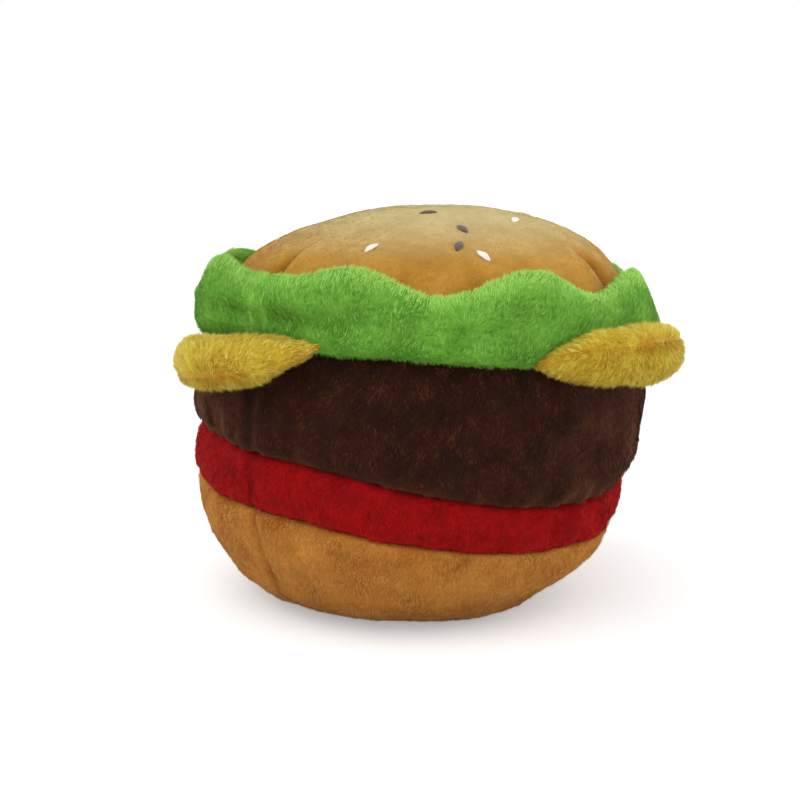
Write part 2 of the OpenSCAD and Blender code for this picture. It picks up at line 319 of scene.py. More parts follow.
def wheel(name: str, columns: int, rows: int) -> bpy.types.Object:
    """Torus of unit major radius for a folded collar.

    Args:
        name: name of the object.
        columns: faces round the axis.
        rows: faces round the tube.

    Returns:
        The torus.
    """
    deselect_all()
    bpy.ops.mesh.primitive_torus_add(major_segments=columns, minor_segments=rows, major_radius=1,
                                     minor_radius=0.25)
    obj = bpy.context.object
    obj.name = name
    return obj


def sort_faces(obj: bpy.types.Object) -> None:
    """Sorts a mesh's edges and faces by their vertices.

    Blender welds a new sphere in a chance order, and the pile and the cloth follow that order.
    """
    base = len(obj.data.vertices)
    mesh = bmesh.new()
    mesh.from_mesh(obj.data)
    for parts in (mesh.edges, mesh.faces):
        parts.sort(key=lambda part: np.polyval(sorted(vertex.index for vertex in part.verts), base))
    mesh.to_mesh(obj.data)
    mesh.free()


def ball(name: str, columns: int, rows: int) -> bpy.types.Object:
    """Unit sphere with its poles on the X axis.

    Args:
        name: name of the object.
        columns: faces round the X axis.
        rows: faces from pole to pole.

    Returns:
        The sphere.
    """
    deselect_all()
    bpy.ops.mesh.primitive_uv_sphere_add(segments=columns, ring_count=rows, radius=1,
                                         rotation=(0, QUARTER_TURN, 0))
    bpy.ops.object.transform_apply(rotation=True)
    obj = bpy.context.object
    obj.name = name
    sort_faces(obj)
    return obj


def close_mesh(obj: bpy.types.Object) -> None:
    """Merges vertices that share a place."""
    activate(obj)
    new_mode("EDIT")
    bpy.ops.mesh.select_all(action="SELECT")
    bpy.ops.mesh.remove_doubles(threshold=MERGE_DISTANCE * MM)
    new_mode("OBJECT")


def thicken(obj: bpy.types.Object, cloth: float) -> None:
    """Gives a sheet of cloth its thickness, inward.

    Args:
        obj: open sheet whose faces point outward.
        cloth: thickness of the cloth.
    """
    bpy.context.view_layer.objects.active = obj
    wall = obj.modifiers.new("cloth", "SOLIDIFY")
    wall.thickness = cloth * MM
    wall.offset = -1
    wall.use_rim = True
    bpy.ops.object.modifier_apply(modifier=wall.name)


def store_painted_shade(obj: bpy.types.Object, depth: Array) -> None:
    """Stores the painted shade that darkens the cloth in its creases, seams and darts and toward the foot.

    Args:
        obj: skin of a panel.
        depth: tone that each vertex loses to painted shade.
    """
    layer = obj.data.attributes.new("crease", "FLOAT", "POINT")
    layer.data.foreach_set("value", depth.astype(np.float32))


def smooth(obj: bpy.types.Object) -> None:
    """Shades a piece smooth."""
    obj.data.polygons.foreach_set("use_smooth", np.ones(len(obj.data.polygons), bool))


class NodeGraph:
    """Nodes of a new material, with short ways to add and join them."""

    def __init__(self, name: str) -> None:
        """Starts the material.

        Args:
            name: name of the material.
        """
        self.material = bpy.data.materials.new(name)
        self.material.use_nodes = True
        self.nodes = self.material.node_tree.nodes
        self.links = self.material.node_tree.links
        self.shader = self.nodes["Principled BSDF"]

    def set(self, name: str, value: float | tuple[float, float, float, float]) -> None:
        """Sets one of the shader's values."""
        self.shader.inputs[name].default_value = value

    def attribute(self, name: str) -> bpy.types.NodeSocket:
        """Socket that gives a mesh attribute."""
        node = self.nodes.new("ShaderNodeAttribute")
        node.attribute_name = name
        return node.outputs["Fac"]

    def place(self) -> bpy.types.NodeSocket:
        """Socket that gives the place on the object."""
        return self.nodes.new("ShaderNodeTexCoord").outputs["Object"]

    def noise(self, size: float, detail: float) -> bpy.types.NodeSocket:
        """Noise over the object.

        Args:
            size: size of its patches.
            detail: number of finer layers.

        Returns:
            The socket that gives the noise.
        """
        node = self.nodes.new("ShaderNodeTexNoise")
        node.inputs["Scale"].default_value = 1 / (size * MM)
        node.inputs["Detail"].default_value = detail
        self.links.new(self.place(), node.inputs["Vector"])
        return node.outputs["Fac"]

    def less(self, first: bpy.types.NodeSocket, second: bpy.types.NodeSocket | float) -> bpy.types.NodeSocket:
        """Takes a second value off a first.

        Args:
            first: socket that gives the first value.
            second: socket that gives the second value, or the value itself.

        Returns:
            The socket that gives the difference.
        """
        node = self.nodes.new("ShaderNodeMath")
        node.operation = "SUBTRACT"
        self.links.new(first, node.inputs[0])
        if isinstance(second, float):
            node.inputs[1].default_value = second
        else:
            self.links.new(second, node.inputs[1])
        return node.outputs["Value"]

    def ramp(self, tone: bpy.types.NodeSocket, stops: dict[float, Colour]) -> bpy.types.NodeSocket:
        """Turns a tone into a colour.

        Args:
            tone: socket that gives the tone.
            stops: colours at tones in rising order.

        Returns:
            The socket that gives the colour.
        """
        node = self.nodes.new("ShaderNodeValToRGB")
        elements = node.color_ramp.elements
        first, *inner, last = stops
        for element, position in zip(elements, (first, last)):
            element.position = position
            element.color = linear(stops[position])
        for position in inner:
            elements.new(position).color = linear(stops[position])
        self.links.new(tone, node.inputs["Fac"])
        return node.outputs["Color"]

    def paint(self, colour: bpy.types.NodeSocket) -> None:
        """Gives the shader its colour."""
        self.links.new(colour, self.shader.inputs["Base Color"])

    def bump(self, height: bpy.types.NodeSocket, strength: float, depth: float) -> None:
        """Roughens the shader.

        Args:
            height: socket that gives the height.
            strength: strength of the bumps.
            depth: their depth.
        """
        node = self.nodes.new("ShaderNodeBump")
        node.inputs["Strength"].default_value = strength
        node.inputs["Distance"].default_value = depth * MM
        self.links.new(height, node.inputs["Height"])
        self.links.new(node.outputs["Normal"], self.shader.inputs["Normal"])


class PlushDyer:
    """Makes and keeps the materials of the pile cloths."""

    TONES = (0.1, 0.5, 0.9)
    PATCH_DETAIL = 4
    WEAVE = 0.6
    WEAVE_DETAIL = 2
    WEAVE_DEPTH = 0.3
    WEAVE_STRENGTH = 0.6

    def __init__(self) -> None:
        """Starts with no material."""
        self.made: dict[str, bpy.types.Material] = {}

    def fibre(self, plush: Plush) -> bpy.types.Material:
        """Material of a cloth's fibres, coloured by each fibre's own tone.

        Args:
            plush: finish of the cloth.

        Returns:
            The material.
        """
        name = f"{plush.name}_fibre"
        if name not in self.made:
            graph = self.start(name, plush)
            self.colour(graph, plush, graph.attribute("tone"))
        return self.made[name]

    def cloth(self, plush: Plush) -> bpy.types.Material:
        """Material of the cloth under the fibres, mottled in patches with a fine woven bump, and darkened by
        painted shade among the fibres and by the painted shade stored on its skin.

        Args:
            plush: finish of the cloth.

        Returns:
            The material.
        """
        name = f"{plush.name}_cloth"
        if name not in self.made:
            graph = self.start(name, plush)
            # The ground tone is painted shade among the fibres.
            ground = graph.less(graph.noise(plush.patch, self.PATCH_DETAIL), plush.ground)
            # The painted shade stored on the skin darkens the cloth further.
            self.colour(graph, plush, graph.less(ground, graph.attribute("crease")))
            graph.bump(graph.noise(self.WEAVE, self.WEAVE_DETAIL), self.WEAVE_STRENGTH, self.WEAVE_DEPTH)
        return self.made[name]

    def start(self, name: str, plush: Plush) -> NodeGraph:
        """Starts a matt material with the soft sheen of pile.

        Args:
            name: name of the material.
            plush: finish of the cloth.

        Returns:
            The material's nodes.
        """
        graph = NodeGraph(name)
        self.made[name] = graph.material
        graph.set("Roughness", 0.9)
        graph.set("Specular IOR Level", 0.15)
        graph.set("Sheen Weight", plush.sheen)
        graph.set("Sheen Roughness", 0.5)
        graph.set("Sheen Tint", linear(plush.sheen_tint or plush.pale))
        return graph

    def colour(self, graph: NodeGraph, plush: Plush, tone: bpy.types.NodeSocket) -> None:
        """Colours a material by a tone of 0 to 1 through the cloth's colours.

        Args:
            graph: nodes of the material.
            plush: finish of the cloth.
            tone: socket that gives the tone.
        """
        base = graph.ramp(tone, dict(zip(self.TONES, (plush.deep, plush.middle, plush.pale))))
        fade = plush.fade
        if fade is None:
            graph.paint(base)
            return
        top = graph.ramp(tone, dict(zip(self.TONES, (fade.deep, fade.middle, fade.pale))))
        parts = graph.nodes.new("ShaderNodeSeparateXYZ")
        height = graph.nodes.new("ShaderNodeMapRange")
        height.interpolation_type = "SMOOTHSTEP"
        height.inputs["From Min"].default_value = fade.low * MM
        height.inputs["From Max"].default_value = fade.high * MM
        blend = graph.nodes.new("ShaderNodeMix")
        blend.data_type = "RGBA"
        graph.links.new(graph.place(), parts.inputs["Vector"])
        graph.links.new(parts.outputs["Z"], height.inputs["Value"])
        graph.links.new(height.outputs["Result"], blend.inputs["Factor"])
        graph.links.new(base, blend.inputs["A"])
        graph.links.new(top, blend.inputs["B"])
        graph.paint(blend.outputs["Result"])


@dataclass(frozen=True)
class SeamRing:
    """Seam round the body, which falls toward +X because the filling leans."""

    height: float
    radius: float
    lean: float
    ripple: float
    dip: float
    ripples: int = 3

    def z(self, azimuth: Array) -> Array:
        """Height of the seam at an azimuth."""
        return (self.height - self.dip * np.cos(azimuth) - self.lean * np.sin(azimuth)
                - self.ripple * np.sin(self.ripples * azimuth))


@dataclass
class BodyForm:
    """Shape of the stuffed body that every sewn panel follows.

    A pair named as a range gives where something starts and where it is full.
    """

    base_radius: float = 28.0
    base_lift: float = 0.35
    base_rim: float = 1.2
    base_rim_power: int = 12
    foot_bulge: float = 4.6
    foot_azimuth: float = math.radians(42)
    foot_width: float = math.radians(30)
    foot_power: int = 3
    heel_height: float = 25.0
    heel_lift: float = 0.4
    heel_arc: float = 38.0
    heel_bulge: float = 0.7
    heel_bulge_power: int = 8
    heel_top_power: float = 1.5
    heel_foot_power: float = 1.6
    heel_row_power: float = 1.3
    heel_lean_power: float = 1.7
    heel_crease_range: tuple[float, float] = (0.2, 0.5)
    heel_tuck: float = -1.0
    heel_seam: SeamRing = SeamRing(height=25.3, radius=51.6, lean=5.4, ripple=1.0, dip=0.8)
    tomato_seam: SeamRing = SeamRing(height=37.2, radius=53.0, lean=7.0, ripple=1.3, dip=0.8)
    tomato_bulge: float = 1.3
    tomato_crease: float = 0.8
    valley_seam: SeamRing = SeamRing(height=65.0, radius=51.5, lean=1.0, ripple=0.0, dip=0.0)
    patty_radius: float = 54.9
    patty_lower_round: float = 6.0
    patty_shoulder: float = 14.0
    patty_shoulder_power: float = 1.4
    patty_crease: float = 0.7
    crown_foot: float = 67.2
    crown_skirt: float = 3.5
    crown_radius: float = 50.2
    crown_apex: float = 95.3
    dome_power: float = 2.0
    dome_rise: float = 0.018
    dome_shift: float = -1.2
    core_end_range: tuple[float, float] = (-0.001, 0.04)
    lean: float = 0.085
    lean_pivot: float = 40.0
    lean_floor: float = 33.0
    heel_shift: float = -1.8
    heel_shift_range: tuple[float, float] = (27.0, 36.0)
    sag: float = 2.4
    sag_height: float = 4.0
    sag_width: float = 6.0
    pile_room: float = 1.1
    closing_seam: float = math.radians(-43)
    crease_depth: float = 0.9
    crease_width: float = 1.1
    ridge_height: float = 0.3
    ridge_place: float = 3.0
    ridge_width: float = 1.6
    groove_depth: float = 1.0
    groove_width: float = 1.0
    seam_turn: float = 4.0
    seed: int = 11
    lump_size: float = 30.0
    lump_height: float = 0.45
    dimple_size: float = 11.0
    dimple_height: float = 0.2
    gather_size: float = 5.0
    gather_height: float = 0.3
    gather_stretch: float = 0.3
    gather_reach: float = 3.0

    def __post_init__(self) -> None:
        """Draws the soft unevenness of the filling."""
        self.lumps = SoftNoise(self.lump_size, self.seed)
        self.dimples = SoftNoise(self.dimple_size, self.seed + 1)
        self.gathers = SoftNoise(self.gather_size, self.seed + 2)

    @property
    def dome_foot(self) -> float:
        """Height at which the crown's dome starts, above its skirt."""
        return self.crown_foot + self.crown_skirt

    def foot(self, azimuth: Array) -> Array:
        """Extra radius of the foot, pressed out at the front."""
        return self.foot_bulge * bell(turn_between(azimuth, self.foot_azimuth), self.foot_width)

    def heel_radius(self, level: Array) -> Array:
        """Radius of the heel at a share of its height."""
        fill = np.power(1 - np.power(1 - level, self.heel_top_power), 1 / self.heel_foot_power)
        return (self.base_radius + (self.heel_seam.radius - self.base_radius) * fill
                + self.heel_bulge * (fill - np.power(level, self.heel_bulge_power)))

    def patty_radius_at(self, level: Array, height: Array) -> Array:
        """Radius of the patty at a share of its height.

        Args:
            level: share of the height.
            height: height of the patty there.

        Returns:
            The bare radius.
        """
        up = level * height
        low = np.clip(up / self.patty_lower_round, 0, 1)
        high = np.clip((up - height + self.patty_shoulder) / self.patty_shoulder, 0, 1)
        foot = (self.tomato_seam.radius - self.patty_radius) * (1 - np.sqrt(1 - np.square(1 - low)))
        shoulder = (self.patty_radius - self.valley_seam.radius) * np.power(high, self.patty_shoulder_power)
        return self.patty_radius + foot - shoulder

    def settle(self, azimuth: Array, radius: Array, z: Array, seam_gap: Array,
               crease: Array | float) -> Array:
        """Adds seams, creases, unevenness and lean to a panel's bare radius and height.

        Args:
            azimuth: azimuth of each point.
            radius: bare radius.
            z: bare height.
            seam_gap: distance of each point from the nearest seam.
            crease: share of the closing seam's crease that the panel has.

        Returns:
            The points.
        """
        bare = around_axis(azimuth, radius, z)
        flat = np.clip(radius / self.base_radius, 0, 1)
        inset = self.pile_room + self.groove_depth * bell(seam_gap, self.groove_width)
        arc = np.abs(turn_between(azimuth, self.closing_seam)) * radius
        inset = inset + crease * self.crease_depth * bell(arc, self.crease_width)
        inset = inset - crease * self.ridge_height * bell(arc - self.ridge_place, self.ridge_width)
        swell = self.lump_height * self.lumps.at(bare) + self.dimple_height * self.dimples.at(bare)
        pleats = self.gathers.at(bare * np.array([1, 1, self.gather_stretch]))
        swell = swell + self.gather_height * pleats * np.exp(-seam_gap / self.gather_reach)
        return self.leaned(azimuth, radius + flat * (swell - inset), z)

    def leaned(self, azimuth: Array, radius: Array, z: Array) -> Array:
        """Points at an azimuth, a radius and a height of the leaning body."""
        points = around_axis(azimuth, radius, z)
        points[:, 0] += self.shift(z)
        return points

    def shift(self, z: Array) -> Array:
        """Sideways shift of the leaning body at a height."""
        low = self.heel_shift * (1 - smooth_step(*self.heel_shift_range, z))
        low = low - self.sag * bell(z - self.sag_height, self.sag_width)
        return self.lean * (np.maximum(z, self.lean_floor) - self.lean_pivot) + low

    def base(self, azimuth: Array, share: Array) -> Array:
        """Points of the base panel, flat on the floor, from its middle out."""
        level = np.clip(share, 0, 1)
        radius = (self.base_radius + self.foot(azimuth)) * level
        z = self.base_lift + self.base_rim * np.power(level, self.base_rim_power)
        return self.leaned(azimuth, radius, z)

    def core(self, azimuth: Array, share: Array, gap: float) -> Array:
        """Points of the stuffing, a gap inside the cloth.

        Args:
            azimuth: azimuth of each point.
            share: share of each point from the floor to the apex.
            gap: distance from the cloth's outside.

        Returns:
            The points.
        """
        z = gap + (self.crown_apex - 2 * gap) * share
        bowl = self.heel_radius(np.clip(z / self.heel_height, 0, 1))
        up = np.clip((z - self.dome_foot) / (self.crown_apex - self.dome_foot), 0, 1)
        dome = self.crown_radius * np.power(1 - np.power(up, self.dome_power), 1 / self.dome_power)
        radius = np.clip(np.minimum(bowl, dome) - gap, 0, None)
        ends = self.core_end_range
        return self.leaned(azimuth, radius * smooth_step(*ends, share) * smooth_step(*ends, 1 - share), z)

    def heel(self, azimuth: Array, share: Array) -> Array:
        """Points of the heel band, from the base panel up to the tomato."""
        shown = np.clip(share, 0, 1)
        level = np.power(shown, self.heel_row_power)
        lean = (self.heel_seam.z(azimuth) - self.heel_height) * np.power(level, self.heel_lean_power)
        z = level * self.heel_height + lean + self.heel_lift
        radius = self.heel_radius(level) + self.foot(azimuth) * np.power(1 - level, self.foot_power)
        crease = smooth_step(*self.heel_crease_range, level)
        points = self.settle(azimuth, radius, z, (1 - shown) * self.heel_arc, crease)
        return self.turn_in(points, azimuth, share, self.heel_tuck)

    def tomato(self, azimuth: Array, share: Array) -> Array:
        """Points of the tomato band."""
        level = np.clip(share, 0, 1)
        low, high = self.heel_seam.z(azimuth), self.tomato_seam.z(azimuth)
        radius = (self.heel_seam.radius + (self.tomato_seam.radius - self.heel_seam.radius) * level
                  + self.tomato_bulge * np.sqrt(1 - np.square(2 * level - 1)))
        gap = np.minimum(level, 1 - level) * (high - low)
        points = self.settle(azimuth, radius, low + (high - low) * level, gap, self.tomato_crease)
        return self.turn_in(points, azimuth, share, 0.0)

    def patty(self, azimuth: Array, share: Array) -> Array:
        """Points of the patty band, up to the valley."""
        level = np.clip(share, 0, 1)
        low, high = self.tomato_seam.z(azimuth), self.valley_seam.z(azimuth)
        radius = self.patty_radius_at(level, high - low)
        gap = level * (high - low)
        points = self.settle(azimuth, radius, low + (high - low) * level, gap, self.patty_crease)
        return self.turn_in(points, azimuth, share, 0.0)

    def turn_in(self, points: Array, azimuth: Array, share: Array, rise: float) -> Array:
        """Turns a panel's edges inward as its seam allowance.

        Args:
            points: points of the panel.
            azimuth: azimuth of each point.
            share: share of each point up the panel, past 0 or 1 in the allowance.
            rise: height that the allowance gains.

        Returns:
            The points with the edges turned in.
        """
        turned = np.clip(share - 1, 0, None) + np.clip(-share, 0, None)
        reach = self.seam_turn * turned / SEAM_ALLOWANCE
        return points + around_axis(azimuth, -reach, rise * (turned > 0))


@dataclass
class DomeForm:
    """Shape of the crown: a dome with four darts, tilted by its filling.

    A dart has an azimuth in degrees and a strength.
    """

    body: BodyForm
    darts: tuple[tuple[float, float], ...] = ((-51.0, 1.0), (60.0, 0.5), (150.0, 0.8), (240.0, 0.8))
    dart_depth: float = 1.9
    dart_width: float = 1.5
    dart_height: float = 20.0
    dart_range: tuple[float, float] = (0.5, 1.0)
    dart_drop: float = -0.6
    # Tone lost to painted shade in a dart's crease.
    dart_shade: float = 0.45
    shade_range: tuple[float, float] = (0.5, 0.9)
    ridge_height: float = 0.5
    ridge_place: float = 5.0
    ridge_width: float = 3.0
    skirt_share: float = 0.1
    arc: float = 60.0
    tilt_height: float = 6.0
    settled: float = 0.7

    def points(self, azimuth: Array, share: Array) -> Array:
        """Points of the crown from its foot to its apex."""
        body, foot = self.body, self.body.dome_foot
        skirt = np.clip(share / self.skirt_share, 0, 1)
        turn = np.clip((share - self.skirt_share) / (1 - self.skirt_share), 0, 1) * QUARTER_TURN
        radius = body.crown_radius * np.power(np.clip(np.cos(turn), 0, 1), 2 / body.dome_power)
        z = foot + (body.crown_apex - foot) * np.power(np.sin(turn), 2 / body.dome_power)
        z = z - body.crown_skirt * (1 - skirt)
        gap = skirt * body.crown_skirt + self.arc * np.clip(share - self.skirt_share, 0, 1)
        points = body.settle(azimuth, radius, z, gap, 0.0)
        pull = np.zeros_like(z)
        for degrees, strength in self.darts:
            arc = turn_between(azimuth, math.radians(degrees)) * radius
            ridge = bell(np.abs(arc) - self.ridge_place, self.ridge_width)
            pull = pull + strength * self.dart_depth * bell(arc, self.dart_width)
            pull = pull - strength * self.ridge_height * ridge
        fade = 1 - smooth_step(*self.dart_range, (z - foot) / self.dart_height)
        points = points + around_axis(azimuth, -1.0, self.dart_drop) * (pull * fade)[:, None]
        above = smooth_step(body.crown_foot, foot + self.tilt_height, z)
        points[:, 0] += body.dome_shift * above
        points[:, 2] += body.dome_rise * points[:, 0] * above - body.pile_room * self.settled
        return points

    def shade(self, azimuth: Array, z: Array) -> Array:
        """Painted shade: tone that the cloth loses in a dart's crease.

        Args:
            azimuth: azimuth of each point.
            z: height of each point.

        Returns:
            The loss of tone.
        """
        near = np.zeros_like(z)
        for degrees, strength in self.darts:
            arc = turn_between(azimuth, math.radians(degrees)) * self.body.crown_radius
            near = np.maximum(near, strength * bell(arc, self.dart_width))
        fade = 1 - smooth_step(*self.shade_range, (z - self.body.dome_foot) / self.dart_height)
        return self.dart_shade * fade * near


@dataclass
class LettuceForm:
    """Shape of the lettuce: a folded strip that stands as a wavy collar."""

    body: BodyForm
    radius: float = 57.4
    waves: int = 8
    peak: float = math.radians(23.5)
    top: float = 81.4
    top_lean: float = 1.6
    taper: float = 1.6
    side_taper: float = 1.4
    back_calm: float = 0.2
    back_drop: float = 2.0
    wave_rise: float = 3.0
    wave_lean: float = 0.4
    low: float = 65.5
    low_lean: float = 4.4
    low_limit: float = 66.2
    dent_top: float = 67.6
    dent_half: float = math.radians(26)
    dent_power: float = 1.1
    flat_width: float = math.radians(17)
    flat_share: float = 0.85
    crease_depth: float = 1.4
    crease_spread: float = 0.6
    crease_scale: float = 40.0
    crease_limits: tuple[float, float] = (0.4, 2.2)
    crease_front: tuple[float, float] = (0.3, 0.8)
    seam_depth: float = 0.8
    seam_width: float = 1.1
    ridge_height: float = 0.25
    ridge_place: float = 2.6
    ridge_width: float = 1.4
    lump_height: float = 0.4
    dimple_height: float = 0.2
    inner_range: tuple[float, float] = (1.5, 4.5)

    def points(self, azimuth: Array, turn: Array) -> Array:
        """Points of the collar.

        Args:
            azimuth: azimuth of each point.
            turn: angle round the fold, from 0 at the lower edge out, up and back in.

        Returns:
            The points.
        """
        body = self.body
        radius, z = self.section(self.fold(azimuth), turn).T
        arc = np.abs(turn_between(azimuth, body.closing_seam)) * radius
        pull = self.seam_depth * bell(arc, self.seam_width)
        pull = pull - self.ridge_height * bell(arc - self.ridge_place, self.ridge_width)
        bare = around_axis(azimuth, radius, z)
        swell = self.lump_height * body.lumps.at(bare) + self.dimple_height * body.dimples.at(bare)
        start, full = self.inner_range
        outer = smooth_step(body.crown_radius + start, body.crown_radius + full, radius)
        return body.leaned(azimuth, radius + outer * (swell - pull), z)

    def dent(self, azimuth: Array) -> Array:
        """Share by which the corners press the lower edge up."""
        dent = np.zeros_like(azimuth)
        for corner in Corner:
            near = turn_between(azimuth, corner.azimuth) / self.dent_half
            dent = np.maximum(dent, np.power(np.clip(1 - np.square(near), 0, 1), self.dent_power))
        return dent

    def crease(self, azimuth: Array) -> Array:
        """Depth of the fold that runs along the collar's front."""
        zero = np.zeros_like(azimuth)
        uneven = self.body.lumps.at(np.stack([azimuth * self.crease_scale, zero, zero], 1))
        depth = np.clip(self.crease_depth + self.crease_spread * uneven, *self.crease_limits)
        return depth * smooth_step(*self.crease_front, np.cos(azimuth))

    def fold(self, azimuth: Array) -> Array:
        """Knots of the folded strip's section at each azimuth.

        Args:
            azimuth: azimuth of each point.

        Returns:
            Knots by radius and height by points.
        """
        foot, crown = self.body.crown_foot, self.body.crown_radius
        closing = turn_between(azimuth, self.body.closing_seam)
        wave = np.cos(self.waves * (azimuth - self.peak))
        wave = wave * (1 - self.flat_share * bell(closing, self.flat_width))
        across, front = np.sin(azimuth), (1 + np.cos(azimuth)) / 2
        calm = self.back_calm + (1 - self.back_calm) * front
        top = self.top - self.top_lean * across + self.wave_rise * calm * wave - self.back_drop * (1 - front)
        lean = self.wave_lean * wave - self.taper * across - self.side_taper * np.square(across)
        dent, crease = self.dent(azimuth), self.crease(azimuth)
        low = np.minimum(self.low - self.low_lean * across, self.low_limit)
        low = low + (self.dent_top - low) * dent
        tall = top - low
        out = self.radius - self.body.pile_room
        knots = (
            (out - 5.4, low + 1.2 * dent),
            (out - 2.3 - 1.2 * dent, low - 0.3),
            (out - 0.5 - 1.0 * dent, low + 0.16 * tall),
            (out - 0.5 - crease * (1 - 0.5 * dent), low + 0.36 * tall),
            (out - 0.3 + 0.6 * lean, low + 0.57 * tall),
            (out - 1.6 + 0.9 * lean, low + 0.79 * tall),
            (out - 3.2 + lean, low + 0.95 * tall),
            (out - 4.8 + lean, top),
            (out - 6.2 + 0.8 * lean, top - 1.5),
            (out - 6.5 + 0.3 * lean, top - 5.0),
            (crown + 0.5, foot + 4.0),
            (crown + 0.4, foot + 0.6),
            (crown - 2.0, foot - 0.6),
            (crown - 2.0, foot - 3.6),
        )
        return np.array([[np.broadcast_to(value, azimuth.shape) for value in knot] for knot in knots])

    @staticmethod
    def section(knots: Array, turn: Array) -> Array:
        """Soft closed curve through the knots.

        Args:
            knots: knots by radius and height by points.
            turn: angle round the fold of each point.

        Returns:
            Radius and height of each point.
        """
        count = len(knots)
        place = ((turn / FULL_TURN) % 1.0) * count
        step = np.floor(place).astype(int)
        t = (place - step)[:, None]
        index = np.arange(len(turn))
        a, b, c, d = (knots[(step + k - 1) % count, :, index] for k in range(4))
        straight = (c - a) * t
        bend = (2 * a - 5 * b + 4 * c - d) * t ** 2
        turn_back = (3 * b - a - 3 * c + d) * t ** 3
        return 0.5 * (2 * b + straight + bend + turn_back)


@dataclass
class CheeseForm:
    """Shape of a cheese corner: two cloths sewn at the rim and stuffed."""

    body: BodyForm
    corner: Corner
    root: float = 52.3
    half_angle: float = math.radians(24.5)
    reach: float = 15.5
    end: float = 1.2
    swell: float = 6.6
    pile_room: float = 0.9
    rise: float = 0.0
    skew: float = 0.0
    twist: float = 0.0
    left_taper: float = 0.62
    right_taper: float = 0.62
    parting: float = 0.0
    loft: float = 0.0
    inner_gap: float = 1.8
    sewn_to: float = 49.0
    free_from: float = 60.0
    row_turn: float = math.radians(80)
    plan_power: float = 2.2
    plan_round: float = 0.75
    belly_place: float = 1.45
    belly_round: float = 0.62
    end_power: float = 2.4
    taper_change: float = 3.0
    dimple_height: float = 0.3
    dimple_offset: float = 40.0

    def bend(self) -> tuple[Vector, Vector]:
        """Finds where the corner starts to swing and where it swings fully.

        Returns:
            The two points, on the corner's middle line, in metres.
        """
        seam = self.body.valley_seam.height
        centre = Vector((float(self.body.shift(np.array(seam))), 0, seam))
        outward = Vector((math.sin(self.corner.azimuth), -math.cos(self.corner.azimuth), 0))
        return (centre + outward * self.sewn_to) * MM, (centre + outward * self.free_from) * MM

    @staticmethod
    def outward_share(unit: Array) -> Array:
        """Share of each point of the unit sphere from the root to the rim."""
        ring = np.sqrt(np.clip(1 - np.square(unit[:, 0]), TINY, 1))
        return (1 - np.clip(unit[:, 1] / ring, -1, 1)) / 2

    def spread(self, unit: Array) -> tuple[Array, Array, Array]:
        """Reads a unit sphere as the corner's own terms.

        Args:
            unit: points of a unit sphere with its poles at the corner's two ends.

        Returns:
            Share along the root, reach outward and signed half thickness.
        """
        s = np.arcsin(np.clip(unit[:, 0], -1, 1)) / QUARTER_TURN
        s = np.sin(s * self.row_turn) / math.sin(self.row_turn)
        t = self.outward_share(unit)
        plan = np.power(np.clip(1 - np.abs(s) ** self.plan_power, 0, 1), self.plan_round)
        length = self.end + (self.reach - self.end) * plan
        belly = 2 * np.power(t, self.belly_place) - 1
        half = np.power(np.clip(1 - np.square(belly), 0, 1), self.belly_round)
        right = (1 + np.tanh(self.taper_change * s)) / 2
        taper = self.left_taper + (self.right_taper - self.left_taper) * right
        half = half * np.power(np.clip(1 - np.abs(s) ** self.end_power, 0, 1), taper)
        half = half * (self.swell - self.pile_room)
        side = np.sign(unit[:, 2])
        return s, (length - self.pile_room) * t, side * half * (1 + self.skew * s) * (1 + self.loft * side)

    def points(self, unit: Array) -> Array:
        """Points of the corner on the toy.

        Args:
            unit: points of a unit sphere with its poles at the corner's two ends.

        Returns:
            The points.
        """
        s, reach, half = self.spread(unit)
        flat = around_axis(s * self.half_angle, self.root + reach, half)
        dimples = self.body.dimples.at(flat + self.dimple_offset * self.corner.azimuth)
        flat[:, 2] += self.dimple_height * dimples * np.abs(half) / self.swell
        flat[:, 2] += self.twist * s
        return self.to_toy(flat)

    def inner(self, unit: Array) -> Array:
        """Points of the filling, a gap inside the cloth.

        Args:
            unit: points of a unit sphere with its poles at the corner's two ends.

        Returns:
            The points.
        """
        outer = self.points(unit)
        middle = outer.mean(0)
        size = np.abs(outer - middle).max(0)
        return middle + (outer - middle) * (1 - self.inner_gap / size)

    def to_toy(self, flat: Array) -> Array:
        """Tilts a corner's points about its hinge line and turns them to its azimuth.

        Args:
            flat: points of the corner, level and facing the front.

        Returns:
            The points on the toy.
        """
        hinge = self.root * (1 + math.cos(self.half_angle)) / 2
        seam = self.body.valley_seam.height
        out = -flat[:, 1] - hinge
        c, s = math.cos(self.corner.tilt), math.sin(self.corner.tilt)
        reach = hinge + out * c - flat[:, 2] * s
        z = seam + self.rise + out * s + flat[:, 2] * c
        ca, sa = math.cos(self.corner.azimuth), math.sin(self.corner.azimuth)
        x = flat[:, 0] * ca + reach * sa + self.body.shift(np.full_like(z, seam))
        y = flat[:, 0] * sa - reach * ca
        return np.stack([x, y, z], 1)


@dataclass
class Strands:
    """Where and how the fibres of one panel grow."""

    roots: Array
    normals: Array
    ways: Array
    lengths: Array
    tones: Array
    plan: Array


@dataclass
class Skin:
    """Shaped skin of a panel: each vertex's azimuth and share, its share of pile and its loss of tone to
    painted shade.
    """

    obj: bpy.types.Object
    azimuth: Array
    share: Array
    shown: Array
    shade: Array


